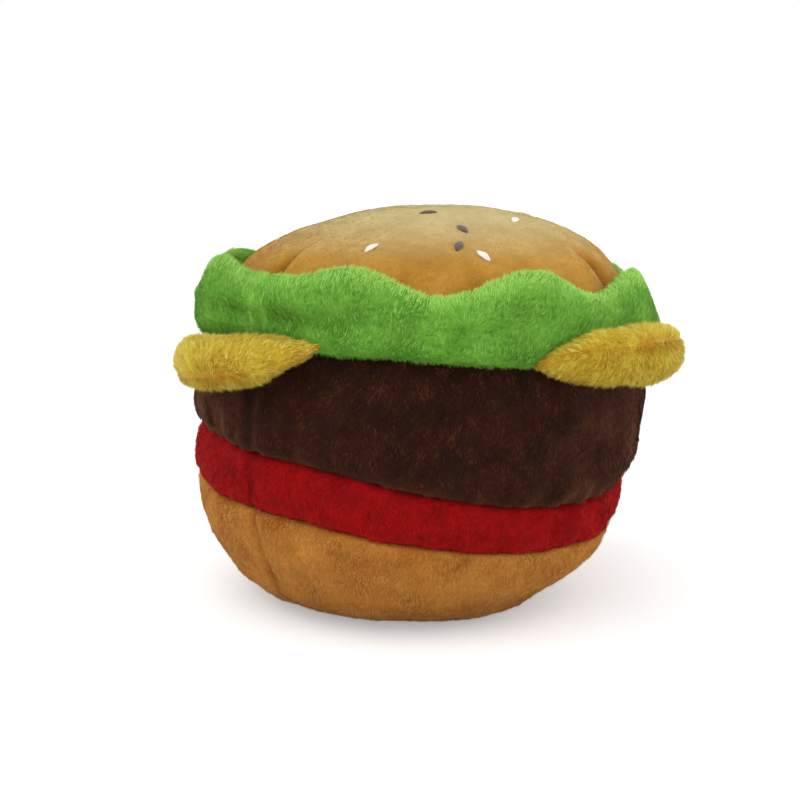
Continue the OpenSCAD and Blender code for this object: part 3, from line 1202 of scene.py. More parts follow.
class PileGrower:
    """Grows closed tapered fibres on a panel's skin, each with three root vertices and a tip."""

    SIDES = 4
    FACES = np.array([[0, 1, 3], [1, 2, 3], [2, 0, 3], [0, 2, 1]])
    ROOT_DEPTH = 0.1
    FLOOR_GAP = 0.05
    SHORTEST = 0.4
    LENGTH_SPREAD = 0.12
    WIDTH_RANGE = (0.8, 1.2)
    LIFT_SPREAD = 0.2
    LIFT_OFFSET = 7
    LIFT_LIMITS = (math.radians(6), math.radians(75))
    TUFT_SIZE = 0.3
    SWIRL_SIZE = 1.6
    SWIRL_SHARE = 0.7
    TUFT_SWIRL = 0.5
    FIBRE_SWIRL = 0.25
    PATCH_TONE = 0.7
    TUFT_TONE = 0.4
    LOCK_TONE = 0.7
    FIBRE_TONE = 0.7
    MIDDLE_TONE = 0.5
    # Shares of the root tone: painted shade at the three root vertices and painted light at the tip.
    TONE_SHARES = np.array([-1.0, -1.0, -1.0, 0.5])
    OWN_NORMALS = np.array([0.15, 0.9, 0.9, 2.0])
    ALONG_NORMAL = 0.35
    PICTURE_SPOTS = np.array([[-0.4, -0.4], [0.4, -0.4], [0.0, -0.75], [0.0, 1.0]])
    PICTURE_SIZE = 1.2
    PICTURE_MARGIN = 0.02

    def __init__(self, plush: Plush) -> None:
        """Keeps the cloth's finish and draws its patches.

        Args:
            plush: finish of the cloth.
        """
        self.plush = plush
        seed = plush.pile.seed
        self.rng = np.random.default_rng(seed)
        self.patches = SoftNoise(plush.patch, seed + 1)
        self.tufts = SoftNoise(plush.patch * self.TUFT_SIZE, seed + 2)
        self.swirls = SoftNoise(plush.patch * self.SWIRL_SIZE, seed + 3)
        self.locks = SoftNoise(plush.pile.lock, seed + 4)

    def scatter(self, skin: Skin) -> tuple[Array, Array, Array, Array, Array]:
        """Picks root places over a skin, evenly by area.

        Args:
            skin: shaped skin.

        Returns:
            Roots in millimetres, normals, azimuths, shares and shades.
        """
        mesh = skin.obj.data
        mesh.calc_loop_triangles()
        faces = np.empty(len(mesh.loop_triangles) * 3, np.int32)
        mesh.loop_triangles.foreach_get("vertices", faces)
        faces = faces.reshape(-1, 3)
        points = places(skin.obj) / MM
        corners = points[faces]
        edges = corners[:, 1:] - corners[:, :1]
        area = 0.5 * np.linalg.norm(np.cross(edges[:, 0], edges[:, 1]), axis=1)
        weight = area * skin.shown[faces].mean(1)
        count = int(weight.sum() * self.plush.pile.density)
        picked = faces[self.rng.choice(len(faces), count, p=weight / weight.sum())]
        split = np.sort(self.rng.random((count, 2)), axis=1)
        mix = np.stack([split[:, 0], split[:, 1] - split[:, 0], 1 - split[:, 1]], 1)
        roots = (points[picked] * mix[:, :, None]).sum(1)
        normals = unit_length((vertex_normals(skin.obj)[picked] * mix[:, :, None]).sum(1))
        outward = (around_axis(skin.azimuth, 1.0, 0.0)[picked] * mix[:, :, None]).sum(1)
        share, shade = ((values[picked] * mix).sum(1) for values in (skin.share, skin.shade))
        return roots, normals, azimuth_of(outward), share, shade

    def comb(self, roots: Array, normals: Array, ways: Array) -> Array:
        """Lays the brushed direction on the surface and disturbs it in patches.

        Args:
            roots: root places.
            normals: outward normals.
            ways: brushed direction before it is laid down.

        Returns:
            Unit directions along the surface.
        """
        ways = unit_length(ways - normals * (ways * normals).sum(1, keepdims=True))
        swirl = self.SWIRL_SHARE * self.swirls.at(roots) + self.TUFT_SWIRL * self.tufts.at(roots)
        turn = self.plush.pile.stray * swirl + self.rng.normal(0, self.FIBRE_SWIRL, len(roots))
        return ways * np.cos(turn)[:, None] + np.cross(normals, ways) * np.sin(turn)[:, None]

    def tones(self, roots: Array) -> Array:
        """Tone of each fibre: patches, tufts, locks and its own chance."""
        patch = self.PATCH_TONE * self.patches.at(roots) + self.TUFT_TONE * self.tufts.at(roots)
        grain = self.LOCK_TONE * self.locks.at(roots) + self.rng.normal(0, self.FIBRE_TONE, len(roots))
        return self.MIDDLE_TONE + self.plush.mottling * patch + self.plush.grain * grain

    def lengths(self, roots: Array) -> Array:
        """Length of each fibre: tufts and its own chance."""
        chance = self.rng.normal(0, self.LENGTH_SPREAD, len(roots))
        share = 1 + self.LENGTH_SPREAD * self.tufts.at(roots) + chance
        return np.clip(self.plush.pile.length * share, self.SHORTEST, None)

    def build(self, name: str, strands: Strands, material: bpy.types.Material) -> bpy.types.Object:
        """Makes one mesh of closed four-sided fibres.

        Args:
            name: name of the object.
            strands: the fibres.
            material: material of the fibres.

        Returns:
            The pile.
        """
        vertices, soft = self.shape(strands)
        count = len(vertices) * self.SIDES
        loops = (np.arange(0, count, self.SIDES)[:, None, None] + self.FACES).ravel()
        mesh = bpy.data.meshes.new(name)
        mesh.vertices.add(count)
        mesh.vertices.foreach_set("co", (vertices * MM).ravel())
        mesh.loops.add(len(loops))
        mesh.loops.foreach_set("vertex_index", loops.astype(np.int32))
        mesh.polygons.add(count)
        mesh.polygons.foreach_set("loop_start", np.arange(0, len(loops), 3, dtype=np.int32))
        # Each fibre's root darkens by painted shade and its tip pales by painted light.
        tones = np.clip(strands.tones[:, None] + self.plush.pile.root_shade_tone * self.TONE_SHARES, 0, 1)
        tone = mesh.attributes.new("tone", "FLOAT", "POINT")
        tone.data.foreach_set("value", tones.astype(np.float32).ravel())
        self.lay_out(mesh, strands, loops)
        mesh.polygons.foreach_set("use_smooth", np.ones(count, bool))
        mesh.update(calc_edges=True)
        mesh.validate()
        mesh.normals_split_custom_set(self.soft_normals(vertices, soft))
        mesh.materials.append(material)
        obj = bpy.data.objects.new(name, mesh)
        bpy.context.scene.collection.objects.link(obj)
        return obj

    def shape(self, strands: Strands) -> tuple[Array, Array]:
        """Shapes the fibres.

        Args:
            strands: the fibres.

        Returns:
            The four vertices of each fibre, and the direction that it shades by.
        """
        pile, count = self.plush.pile, len(strands.roots)
        uneven = 1 + self.LIFT_SPREAD * self.tufts.at(strands.roots + self.LIFT_OFFSET)
        uneven = uneven + self.rng.normal(0, self.LIFT_SPREAD, count)
        lift = np.clip(math.radians(pile.lift) * uneven, *self.LIFT_LIMITS)[:, None]
        along = strands.ways * np.cos(lift) + strands.normals * np.sin(lift)
        side = unit_length(np.cross(along, strands.normals))
        root = strands.roots - strands.normals * self.ROOT_DEPTH
        half = 0.5 * pile.width * self.rng.uniform(*self.WIDTH_RANGE, count)[:, None]
        tip = root + along * strands.lengths[:, None]
        vertices = np.stack([root - side * half, root + side * half, root - strands.normals * half, tip], 1)
        vertices[:, :, 2] = np.maximum(vertices[:, :, 2], self.FLOOR_GAP)
        return vertices, strands.normals + self.ALONG_NORMAL * along

    def soft_normals(self, vertices: Array, soft: Array) -> Array:
        """Normals of the face corners, drawn to the cloth's own so that the pile shades as one surface.

        Args:
            vertices: the four vertices of each fibre.
            soft: direction that the fibre shades by.

        Returns:
            A normal for each face corner.
        """
        corners = vertices[:, self.FACES]
        edges = corners[:, :, 1:] - corners[:, :, :1]
        own = unit_length(np.cross(edges[:, :, 0], edges[:, :, 1]))
        normals = unit_length(soft[:, None] + self.OWN_NORMALS[:, None] * own)
        return np.repeat(normals.reshape(-1, 3), 3, axis=0)

    def lay_out(self, mesh: bpy.types.Mesh, strands: Strands, loops: Array) -> None:
        """Lays each fibre flat at its own place of the panel's plan, as its UV map.

        Args:
            mesh: mesh of the pile.
            strands: the fibres.
            loops: vertex of each face corner.
        """
        low = strands.plan.min(0)
        span = (strands.plan.max(0) - low).max()
        spots = ((strands.plan - low) / span)[:, None] + self.PICTURE_SPOTS * (self.PICTURE_SIZE / span)
        spots = self.PICTURE_MARGIN + (1 - 2 * self.PICTURE_MARGIN) * spots.reshape(-1, 2)
        layer = mesh.uv_layers.new(name="OFBake")
        layer.data.foreach_set("uv", np.clip(spots[loops], 0, 1).astype(np.float32).ravel())


@dataclass(frozen=True)
class FineFibre:
    """Finish of thread or loose filling: fine fibres of two tones, with the size of their pattern."""

    name: str
    slot: str
    dark: Colour
    bright: Colour
    grain: float
    roughness: float

    def material(self) -> bpy.types.Material:
        """Makes the material, or finds the one made before.

        Returns:
            The material.
        """
        if self.name in bpy.data.materials:
            return bpy.data.materials[self.name]
        graph = NodeGraph(self.name)
        graph.set("Roughness", self.roughness)
        graph.set("Sheen Weight", 0.3)
        pattern = graph.noise(self.grain, detail=3)
        graph.paint(graph.ramp(pattern, {0.3: self.dark, 0.6: self.bright}))
        graph.bump(pattern, strength=0.5, depth=0.2)
        return graph.material


PLUSH_CROWN = Plush(
    name="bun_crown_plush", slot="crown_plush",
    deep=(136, 78, 12), middle=(178, 127, 40), pale=(200, 154, 68),
    mottling=0.05, grain=0.05, patch=9.0, sheen=0.5, ground=0.0, sheen_tint=(226, 204, 146),
    pile=Pile(density=8.3, length=0.75, width=0.15, lift=20, stray=0.25, nap=Nap.UP, seed=101,
              root_shade_tone=0.04),
    fade=Fade(low=83.0, high=95.0, deep=(172, 152, 102), middle=(190, 174, 124), pale=(206, 191, 145)))
PLUSH_BUN = Plush(
    name="bun_heel_plush", slot="bun_plush",
    deep=(136, 77, 23), middle=(200, 134, 56), pale=(230, 175, 95),
    mottling=0.05, grain=0.09, patch=8.0, sheen=0.4,
    pile=Pile(density=9.0, length=1.15, width=0.17, lift=20, stray=0.25, nap=Nap.DOWN, seed=102))
PLUSH_BASE = replace(
    PLUSH_BUN, name="bun_base_plush",
    pile=Pile(density=6.0, length=1.1, width=0.2, lift=7, stray=0.4, nap=Nap.DOWN, seed=107))
PLUSH_TOMATO = Plush(
    name="tomato_plush", slot="tomato_plush",
    deep=(118, 2, 3), middle=(168, 6, 8), pale=(200, 20, 22),
    mottling=0.08, grain=0.12, patch=6.0, sheen=0.25,
    pile=Pile(density=9.0, length=1.1, width=0.18, lift=26, stray=0.45, nap=Nap.DOWN, seed=103))
PLUSH_PATTY = Plush(
    name="patty_plush", slot="patty_plush",
    deep=(22, 7, 3), middle=(47, 18, 7), pale=(96, 52, 32),
    mottling=0.1, grain=0.14, patch=8.0, sheen=0.4, sheen_tint=(190, 122, 82),
    pile=Pile(density=8.6, length=1.3, width=0.18, lift=21, stray=0.4, nap=Nap.DOWN, seed=104))
PLUSH_LETTUCE = Plush(
    name="lettuce_plush", slot="lettuce_plush",
    deep=(57, 107, 25), middle=(111, 172, 58), pale=(160, 211, 100),
    mottling=0.05, grain=0.14, patch=7.0, sheen=0.4, ground=0.15,
    pile=Pile(density=9.2, length=1.45, width=0.17, lift=20, stray=0.35, nap=Nap.UP, seed=105))
PLUSH_CHEESE = Plush(
    name="cheese_plush", slot="cheese_plush",
    deep=(172, 124, 28), middle=(218, 196, 65), pale=(246, 233, 128),
    mottling=0.06, grain=0.14, patch=6.0, sheen=0.4,
    pile=Pile(density=10.0, length=1.8, width=0.18, lift=26, stray=0.3, nap=Nap.DOWN, seed=106))
THREAD_WHITE = FineFibre("white_satin_thread", "white_thread", (214, 208, 198), (246, 243, 236), 0.25, 0.7)
THREAD_DARK = FineFibre("dark_satin_thread", "dark_thread", (62, 50, 42), (96, 82, 70), 0.25, 0.7)
FIBRE_FILL = FineFibre("white_fibre_fill", "fibre_fill", (206, 204, 198), (240, 238, 232), 1.5, 0.95)


@dataclass(frozen=True)
class SeedSpot:
    """Place of an embroidered seed on the crown: its middle, its axes and its half sizes."""

    middle: Array
    along: Array
    across: Array
    normal: Array
    half_length: float
    half_width: float

    def covers(self, points: Array) -> Array:
        """True for the points that lie under the seed."""
        offset = points - self.middle
        lengthwise = offset @ self.along / self.half_length
        crosswise = offset @ self.across / self.half_width
        return np.square(lengthwise) + np.square(crosswise) < 1


class Stuffer:
    """Fills a sewn cover: a short cloth simulation with inner pressure, its seams held."""

    FRAMES = 20
    ENLARGE = 10.0
    QUICK_SHARE = 0.7
    SETTINGS = {
        "quality": 5, "mass": 0.2, "tension_stiffness": 20, "compression_stiffness": 20, "shear_stiffness": 8,
        "bending_stiffness": 2, "air_damping": 4, "shrink_min": -0.015, "use_pressure": True,
    }

    def fill(self, obj: bpy.types.Object, held: Array, pressure: float, cap: float) -> None:
        """Swells a cover and keeps its seams.

        The cover is simulated enlarged, because the solver is made for pieces of about a metre.

        Args:
            obj: skin with its place in its mesh.
            held: 1 where a vertex is sewn down and 0 where it is free.
            pressure: pressure of the filling.
            cap: most that a point may move.
        """
        start = places(obj)
        obj.data.vertices.foreach_set("co", (start * self.ENLARGE).ravel())
        obj.data.update()
        self.simulate(obj, held, pressure)
        moved = places(obj) / self.ENLARGE - start
        length = np.linalg.norm(moved, axis=1, keepdims=True)
        moved *= np.minimum(1, cap * MM / np.maximum(length, TINY))
        put(obj, (start + moved) / MM)
        LOG.info("%s: filled, moved %.2f mm at most, %.2f mm on average", obj.name, length.max() / MM,
                 length.mean() / MM)

    def simulate(self, obj: bpy.types.Object, held: Array, pressure: float) -> None:
        """Runs the cloth simulation and keeps its last frame.

        Args:
            obj: enlarged skin.
            held: 1 where a vertex is sewn down and 0 where it is free.
            pressure: pressure of the filling.
        """
        group = obj.vertex_groups.new(name="seams")
        for weight in np.unique(held):
            if weight > 0:
                group.add(np.flatnonzero(held == weight).tolist(), float(weight), "REPLACE")
        cloth = obj.modifiers.new("filling", "CLOTH")
        for name, value in self.SETTINGS.items():
            setattr(cloth.settings, name, value)
        cloth.settings.uniform_pressure_force = pressure
        cloth.settings.effector_weights.gravity = 0
        cloth.settings.vertex_group_mass = group.name
        cloth.collision_settings.use_collision = False
        cloth.point_cache.frame_start = 1
        cloth.point_cache.frame_end = self.FRAMES
        for number in range(1, self.FRAMES + 1):
            bpy.context.scene.frame_set(number)
        activate(obj)
        bpy.ops.object.modifier_apply(modifier=cloth.name)
        bpy.context.scene.frame_set(1)
        obj.vertex_groups.clear()


@dataclass
class SoftPiece:
    """A sewn piece of the toy: its finish, the nodes that it stands for and its seams.

    The seam line is the distance from the closing seam of a line whose tone shifts by the seam tone, or 0
    without such a seam: on the bands a dark line of painted shade in the seam's crease, on the lettuce pale
    thread.
    A painted highlight on the rolled top edge lies at the given share along the panel, or is left out with 0.
    A flat plan suits a panel that is seen from above.
    """

    BACK_DENSITY: ClassVar[float] = 0.65
    PARTING_WIDTH: ClassVar[float] = 2.0
    PARTING_SHARE: ClassVar[float] = 1.2
    SEAM_LINE_WIDTH: ClassVar[float] = 0.45
    SEAM_TRIM: ClassVar[float] = 0.5
    TRIM_MARGIN: ClassVar[float] = 0.5
    PLAN_HEIGHT: ClassVar[float] = 40.0

    form: BodyForm
    dyer: PlushDyer
    name: str
    plush: Plush
    nodes: tuple[str, ...]
    fill: float = 0.9
    seam_tone: float = -0.22
    seam_line: float = 0.0
    # Place, strength and width of the painted highlight on the rolled top edge.
    highlight_share: float = 0.0
    highlight_tone: float = 0.8
    highlight_width: float = 0.075
    flat_plan: bool = False

    def carry(self, obj: bpy.types.Object) -> None:
        """Lets a finished piece move with its body."""
        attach(obj, ROOT_BODY)

    def tie(self, obj: bpy.types.Object) -> None:
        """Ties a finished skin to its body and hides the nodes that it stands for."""
        self.carry(obj)
        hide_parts(*self.nodes)
        LOG.info("%s: %d faces", obj.name, len(obj.data.polygons))

    def tie_pile(self, pile: bpy.types.Object) -> None:
        """Ties a finished pile to its body."""
        self.carry(pile)
        LOG.info("%s: %d faces", pile.name, len(pile.data.polygons))

    def fur(self, skin: Skin, spots: tuple[SeedSpot, ...] = ()) -> None:
        """Grows the pile of a panel round the toy, in a front and a back half.

        Args:
            skin: skin that carries the pile.
            spots: embroidered seeds, which press the pile away.
        """
        grower = PileGrower(self.plush)
        roots, normals, turn, level, shade = grower.scatter(skin)
        free = np.ones(len(roots), bool)
        for spot in spots:
            free &= ~spot.covers(roots)
        roots, normals, turn, level, shade = (part[free] for part in (roots, normals, turn, level, shade))
        around = around_axis(turn + QUARTER_TURN, 1.0, 0.0)
        upward = np.cross(normals, around)
        round_share, up_share = self.plush.pile.nap.value
        arc = turn_between(turn, self.form.closing_seam) * np.hypot(roots[:, 0], roots[:, 1])
        sewn = bool(self.seam_line)
        sideways = round_share + sewn * self.PARTING_SHARE * np.sign(arc) * bell(arc, self.PARTING_WIDTH)
        ways = grower.comb(roots, normals, around * sideways[:, None] + upward * up_share)
        lengths = grower.lengths(roots)
        tones = grower.tones(roots) - shade
        # A painted highlight along the rolled top edge lightens the fibres there.
        if self.highlight_share:
            tones = tones + self.highlight_tone * bell(level - self.highlight_share, self.highlight_width)
        # Along the closing seam the bands darken by painted shade in the seam's crease, and the lettuce shows
        # pale thread.
        if sewn:
            tones = tones + self.seam_tone * bell(np.abs(arc) - self.seam_line, self.SEAM_LINE_WIDTH)
            lengths = lengths * (1 - self.SEAM_TRIM * bell(arc, self.seam_line + self.TRIM_MARGIN))
        plan = np.stack([turn * self.form.patty_radius, level * self.PLAN_HEIGHT], 1)
        if self.flat_plan:
            plan = roots[:, :2]
        front = np.abs(turn) < QUARTER_TURN
        back = ~front & (grower.rng.random(len(front)) < self.BACK_DENSITY)
        for half, mask in (("front", front), ("back", back)):
            strands = Strands(roots[mask], normals[mask], ways[mask], lengths[mask], tones[mask], plan[mask])
            self.tie_pile(grower.build(f"{self.name}_pile_{half}", strands, self.dyer.fibre(self.plush)))


@dataclass
class SewnBand(SoftPiece):
    """A band or disc of the body between two seams."""

    SHARE_SLACK: ClassVar[float] = 0.001

    columns: int = 320
    rows: int = 40
    turned_low: float = SEAM_ALLOWANCE
    turned_high: float = SEAM_ALLOWANCE
    cloth: float = 1.2
    pressure: float = 3.0
    cap: float = 0.7
    # Painted shade that darkens the band toward the foot, where less light falls.
    foot_shade: float = 0.0
    foot_range: tuple[float, float] = (2.0, 11.0)
    held_range: tuple[float, float] = (0.0, 0.12)
    shade_width: float = 0.8

    def skin(self, shape: Callable[[Array, Array], Array]) -> Skin:
        """Shapes the band's skin and fills it.

        Args:
            shape: function that gives the points from azimuths and shares.

        Returns:
            The skin.
        """
        obj = sleeve(self.name, self.columns, self.rows)
        unit = places(obj)
        azimuth = azimuth_of(unit)
        share = unit[:, 2] * (1 + self.turned_low + self.turned_high) - self.turned_low
        put(obj, shape(azimuth, share))
        smooth(obj)
        obj.data.materials.append(self.dyer.cloth(self.plush))
        edge = np.minimum(share, 1 - share)
        shown = (edge >= -self.SHARE_SLACK).astype(float)
        if self.pressure:
            held = 1 - smooth_step(*self.held_range, edge)
            Stuffer().fill(obj, np.round(held, 1), self.pressure, self.cap)
        shade = self.shade(azimuth, places(obj)[:, 2] / MM)
        store_painted_shade(obj, shade)
        return Skin(obj, azimuth, share, shown, shade)

    def shade(self, azimuth: Array, z: Array) -> Array:
        """Painted shade: tone that the cloth loses in the crease of its closing seam, and toward the foot.

        Args:
            azimuth: azimuth of each point.
            z: height of each point.

        Returns:
            The loss of tone.
        """
        if not self.seam_line:
            return np.zeros_like(z)
        # Painted shade in the crease of the closing seam.
        arc = turn_between(azimuth, self.form.closing_seam) * self.form.patty_radius
        # Painted shade toward the foot, where less light falls.
        low = 1 - smooth_step(*self.foot_range, z)
        return -self.seam_tone * bell(arc, self.shade_width) + self.foot_shade * low

    def build(self, shape: Callable[[Array, Array], Array]) -> None:
        """Builds the band with its pile.

        Args:
            shape: function that gives the points from azimuths and shares.
        """
        skin = self.skin(shape)
        self.fur(skin)
        self.close(skin.obj)

    def close(self, obj: bpy.types.Object) -> None:
        """Gives the cloth its thickness and ties the piece."""
        thicken(obj, self.cloth)
        close_mesh(obj)
        self.tie(obj)


@dataclass
class Embroidery:
    """Seeds sewn on the crown in satin stitch.

    The last five values are shares that a thread loses: of its length at the seed's sides, of its
    width and of its spread at its own ends, and of its height at its ends and at the seed's sides.
    """

    crown: bpy.types.Object
    crown_radius: float
    length: float = 4.2
    width: float = 2.0
    threads: int = 7
    thread: float = 0.44
    rise: float = 0.42
    pressed: float = -0.2
    thread_sides: int = 8
    thread_cuts: int = 7
    side_shorter: float = 0.7
    end_thinner: float = 0.55
    end_closer: float = 0.35
    end_lower: float = 0.85
    side_lower: float = 0.3

    def spot(self, azimuth: float, share: float, turn: float) -> SeedSpot:
        """Finds where a seed lies on the crown's skin.

        Args:
            azimuth: azimuth of the seed in degrees.
            share: distance from the axis as a share of the crown's radius.
            turn: turn of the seed's long side in degrees.

        Returns:
            The seed's place.
        """
        a, r = math.radians(azimuth), share * self.crown_radius
        above = Vector((r * math.sin(a), -r * math.cos(a), 2 * self.crown_radius)) * MM
        _, middle, normal, _ = self.crown.ray_cast(above, Vector((0, 0, -1)))
        normal = np.array(normal)
        around = np.array([math.cos(a), math.sin(a), 0])
        around = unit_length(around - normal * (around @ normal))
        upward = np.cross(normal, around)
        t = math.radians(turn)
        along = around * math.cos(t) + upward * math.sin(t)
        return SeedSpot(np.array(middle) / MM, along, np.cross(normal, along), normal,
                        0.5 * self.length + self.pressed, 0.5 * self.width + self.pressed)

    def stitch(self) -> bpy.types.Object:
        """One thread of a seed: a thin bar cut along its length, as long as the seed at unit scale."""
        deselect_all()
        bpy.ops.mesh.primitive_cylinder_add(vertices=self.thread_sides, radius=0.5, depth=1,
                                            rotation=(0, QUARTER_TURN, 0))
        bpy.ops.object.transform_apply(rotation=True)
        obj = bpy.context.object
        cut_along(obj, 0, self.thread_cuts)
        return obj

    def sew(self, name: str, node: str, spots: list[SeedSpot], finish: FineFibre) -> None:
        """Sews the seeds of one colour as one piece.

        Args:
            name: name of the piece.
            node: CAD node that it stands for.
            spots: places of the seeds.
            finish: finish of the thread.
        """
        pattern = self.stitch()
        unit = places(pattern)
        made = []
        for spot in spots:
            for number in range(self.threads):
                side = (2 * number + 1) / self.threads - 1
                thread = pattern.copy()
                thread.data = pattern.data.copy()
                bpy.context.scene.collection.objects.link(thread)
                put(thread, self.laid(unit, spot, side))
                made.append(thread)
        bpy.data.objects.remove(pattern)
        deselect_all()
        for thread in made:
            thread.select_set(True)
        bpy.context.view_layer.objects.active = made[0]
        bpy.ops.object.join()
        piece = made[0]
        piece.name = name
        smooth(piece)
        piece.data.materials.clear()
        piece.data.materials.append(finish.material())
        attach(piece, ROOT_BODY)
        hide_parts(node)
        LOG.info("%s: %d seeds of %d threads", name, len(spots), self.threads)

    def laid(self, unit: Array, spot: SeedSpot, side: float) -> Array:
        """Lays one thread over a seed, arched and fanned.

        Args:
            unit: points of the straight thread.
            spot: place of the seed.
            side: place of the thread across the seed, -1 to 1.

        Returns:
            The thread's points.
        """
        x = unit[:, 0] * 2
        thickness = self.thread * (1 - self.end_thinner * x ** 4)
        along = unit[:, 0] * self.length * math.sqrt(1 - self.side_shorter * side * side)
        across = side * 0.5 * (self.width - self.thread) * (1 - self.end_closer * x * x)
        across = across + unit[:, 1] * thickness
        height = self.rise * (1 - self.end_lower * x * x) * (1 - self.side_lower * side * side)
        height = height + unit[:, 2] * thickness
        return (spot.middle + along[:, None] * spot.along + across[:, None] * spot.across
                + height[:, None] * spot.normal)


@dataclass
class Crown(SewnBand):
    """The upper bun: a dome with darts, pile and embroidered seeds.

    A seed has an azimuth in degrees, a share of the crown's radius and a turn in degrees.
    """

    white_spots: tuple[tuple[float, float, float], ...] = (
        (-17, 0.7, 63), (21, 0.78, -66), (56, 0.54, 20), (98, 0.52, 70), (150, 0.66, -30), (-150, 0.48, 40),
        (-95, 0.68, 10))
    dark_spots: tuple[tuple[float, float, float], ...] = (
        (9, 0.31, -1), (20, 0.57, -79), (14.5, 0.7, 60), (118, 0.72, -20), (-172, 0.5, 40), (-122, 0.74, 65),
        (-148, 0.72, -15))

    def shade(self, azimuth: Array, z: Array) -> Array:
        """Painted shade that the cloth takes in the creases of its darts."""
        return DomeForm(self.form).shade(azimuth, z)

    def build(self, shape: Callable[[Array, Array], Array]) -> None:
        """Builds the crown with its pile and seeds.

        Args:
            shape: function that gives the points from azimuths and shares.
        """
        skin = self.skin(shape)
        embroidery = Embroidery(skin.obj, self.form.crown_radius)
        bpy.context.view_layer.update()
        white = [embroidery.spot(*spot) for spot in self.white_spots]
        dark = [embroidery.spot(*spot) for spot in self.dark_spots]
        self.fur(skin, tuple(white + dark))
        self.close(skin.obj)
        embroidery.sew("white_seed_stitches", "white_seeds", white, THREAD_WHITE)
        embroidery.sew("dark_seed_stitches", "dark_seeds", dark, THREAD_DARK)


@dataclass
class LettuceCollar(SoftPiece):
    """The lettuce: a folded strip that stands as a wavy collar."""

    columns: int = 320
    rows: int = 56
    shown_from: float = 0.03
    shown_to: float = 0.72

    def build(self) -> None:
        """Builds the collar with its pile."""
        obj = wheel(self.name, self.columns, self.rows)
        unit = places(obj)
        azimuth = azimuth_of(unit)
        turn = np.arctan2(unit[:, 2], np.hypot(unit[:, 0], unit[:, 1]) - 1)
        share = (turn / FULL_TURN) % 1.0
        put(obj, LettuceForm(self.form).points(azimuth, turn))
        smooth(obj)
        obj.data.materials.append(self.dyer.cloth(self.plush))
        shown = ((share > self.shown_from) & (share < self.shown_to)).astype(float)
        self.fur(Skin(obj, azimuth, share, shown, np.zeros(len(unit))))
        self.tie(obj)


@dataclass(kw_only=True)
class CheeseCorner(SoftPiece):
    """A cheese corner: two cloths sewn at the rim and stuffed, tilted about a hinge line at its root.

    Ranges named for the root, the rim and the parting are shares from the root to the rim.
    A way of the pile is its share toward the root and its share upward.
    """

    shape: CheeseForm
    columns: int = 72
    rows: int = 56
    fibre_columns: int = 40
    fibre_rows: int = 28
    pressure: float = 4.0
    cap: float = 0.6
    root_range: tuple[float, float] = (0.05, 0.2)
    rim_range: tuple[float, float] = (0.96, 1.0)
    parting_range: tuple[float, float] = (0.4, 0.7)
    # Width and depth of the painted shade along the pile's parting at the rim seam, and its gain on the
    # fibres.
    parting_width: float = 0.16
    parting_shade: float = 0.08
    parting_tone: float = 1.3
    shown_from: float = 0.06
    # Painted shade on the fibres of the lower side, which the light above reaches less.
    lower_shade_tone: float = -0.14
    upper_way: tuple[float, float] = (0.8, 0.5)
    lower_way: tuple[float, float] = (0.5, -1.0)
    fan_width: float = 24.0
    end_range: tuple[float, float] = (16.0, 23.0)
    end_trim: float = 0.4
    plan_step: float = 22.0

    def carry(self, obj: bpy.types.Object) -> None:
        """Bakes a finished piece's place into its mesh; the corner's bend is worked out but not used."""
        start, end = self.shape.bend()
        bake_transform(obj)

    def build(self) -> None:
        """Builds the corner, its filling and its pile."""
        shape = self.shape
        obj = ball(self.name, self.columns, self.rows)
        unit = places(obj)
        put(obj, shape.points(unit))
        smooth(obj)
        obj.data.materials.append(self.dyer.cloth(self.plush))
        share = shape.outward_share(unit)
        held = np.maximum(1 - smooth_step(*self.root_range, share), smooth_step(*self.rim_range, share))
        Stuffer().fill(obj, np.round(held, 1), self.pressure, self.cap)
        # Painted shade along the parting of the pile at the rim seam.
        parted = bell(vertex_normals(obj)[:, 2] - shape.parting, self.parting_width)
        shade = self.parting_shade * smooth_step(*self.parting_range, share) * parted
        store_painted_shade(obj, shade)
        shown = (share > self.shown_from).astype(float)
        self.fur_out(Skin(obj, np.full(len(unit), shape.corner.azimuth), share, shown, shade))
        self.tie(obj)
        self.stuff()

    def fur_out(self, skin: Skin) -> None:
        """Grows the pile, parted at the rim seam and brushed from there toward the root.

        Args:
            skin: skin that carries the pile.
        """
        grower = PileGrower(self.plush)
        roots, normals, _, _, shade = grower.scatter(skin)
        middle = self.shape.corner.azimuth
        outward = np.array([math.sin(middle), -math.cos(middle), 0])
        sideways = np.array([math.cos(middle), math.sin(middle), 0])
        across = roots @ sideways
        upper = normals[:, 2] > self.shape.parting
        inward_share, up_share = np.where(upper[:, None], self.upper_way, self.lower_way).T
        ways = -outward * inward_share[:, None] + sideways * (across / self.fan_width)[:, None]
        ways[:, 2] += up_share
        ways = grower.comb(roots, normals, ways)
        ends = smooth_step(*self.end_range, np.abs(across))
        lengths = grower.lengths(roots) * (1 - self.end_trim * ends) * (1 - shade)
        # Fibres lose the parting's painted shade, and those of the lower side take painted shade.
        tones = grower.tones(roots) - self.parting_tone * shade + self.lower_shade_tone * ~upper
        plan = np.stack([across, np.hypot(roots[:, 0], roots[:, 1]) + self.plan_step * upper], 1)
        strands = Strands(roots, normals, ways, lengths, tones, plan)
        self.tie_pile(grower.build(f"{self.name}_pile", strands, self.dyer.fibre(self.plush)))

    def stuff(self) -> None:
        """Puts the fibre filling inside the corner."""
        obj = ball(f"{self.name}_fibre", self.fibre_columns, self.fibre_rows)
        put(obj, self.shape.inner(places(obj)))
        smooth(obj)
        obj.data.materials.append(FIBRE_FILL.material())
        self.carry(obj)
        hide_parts(f"cheese_{self.shape.corner.short}_filling")
        LOG.info("%s: %d faces", obj.name, len(obj.data.polygons))


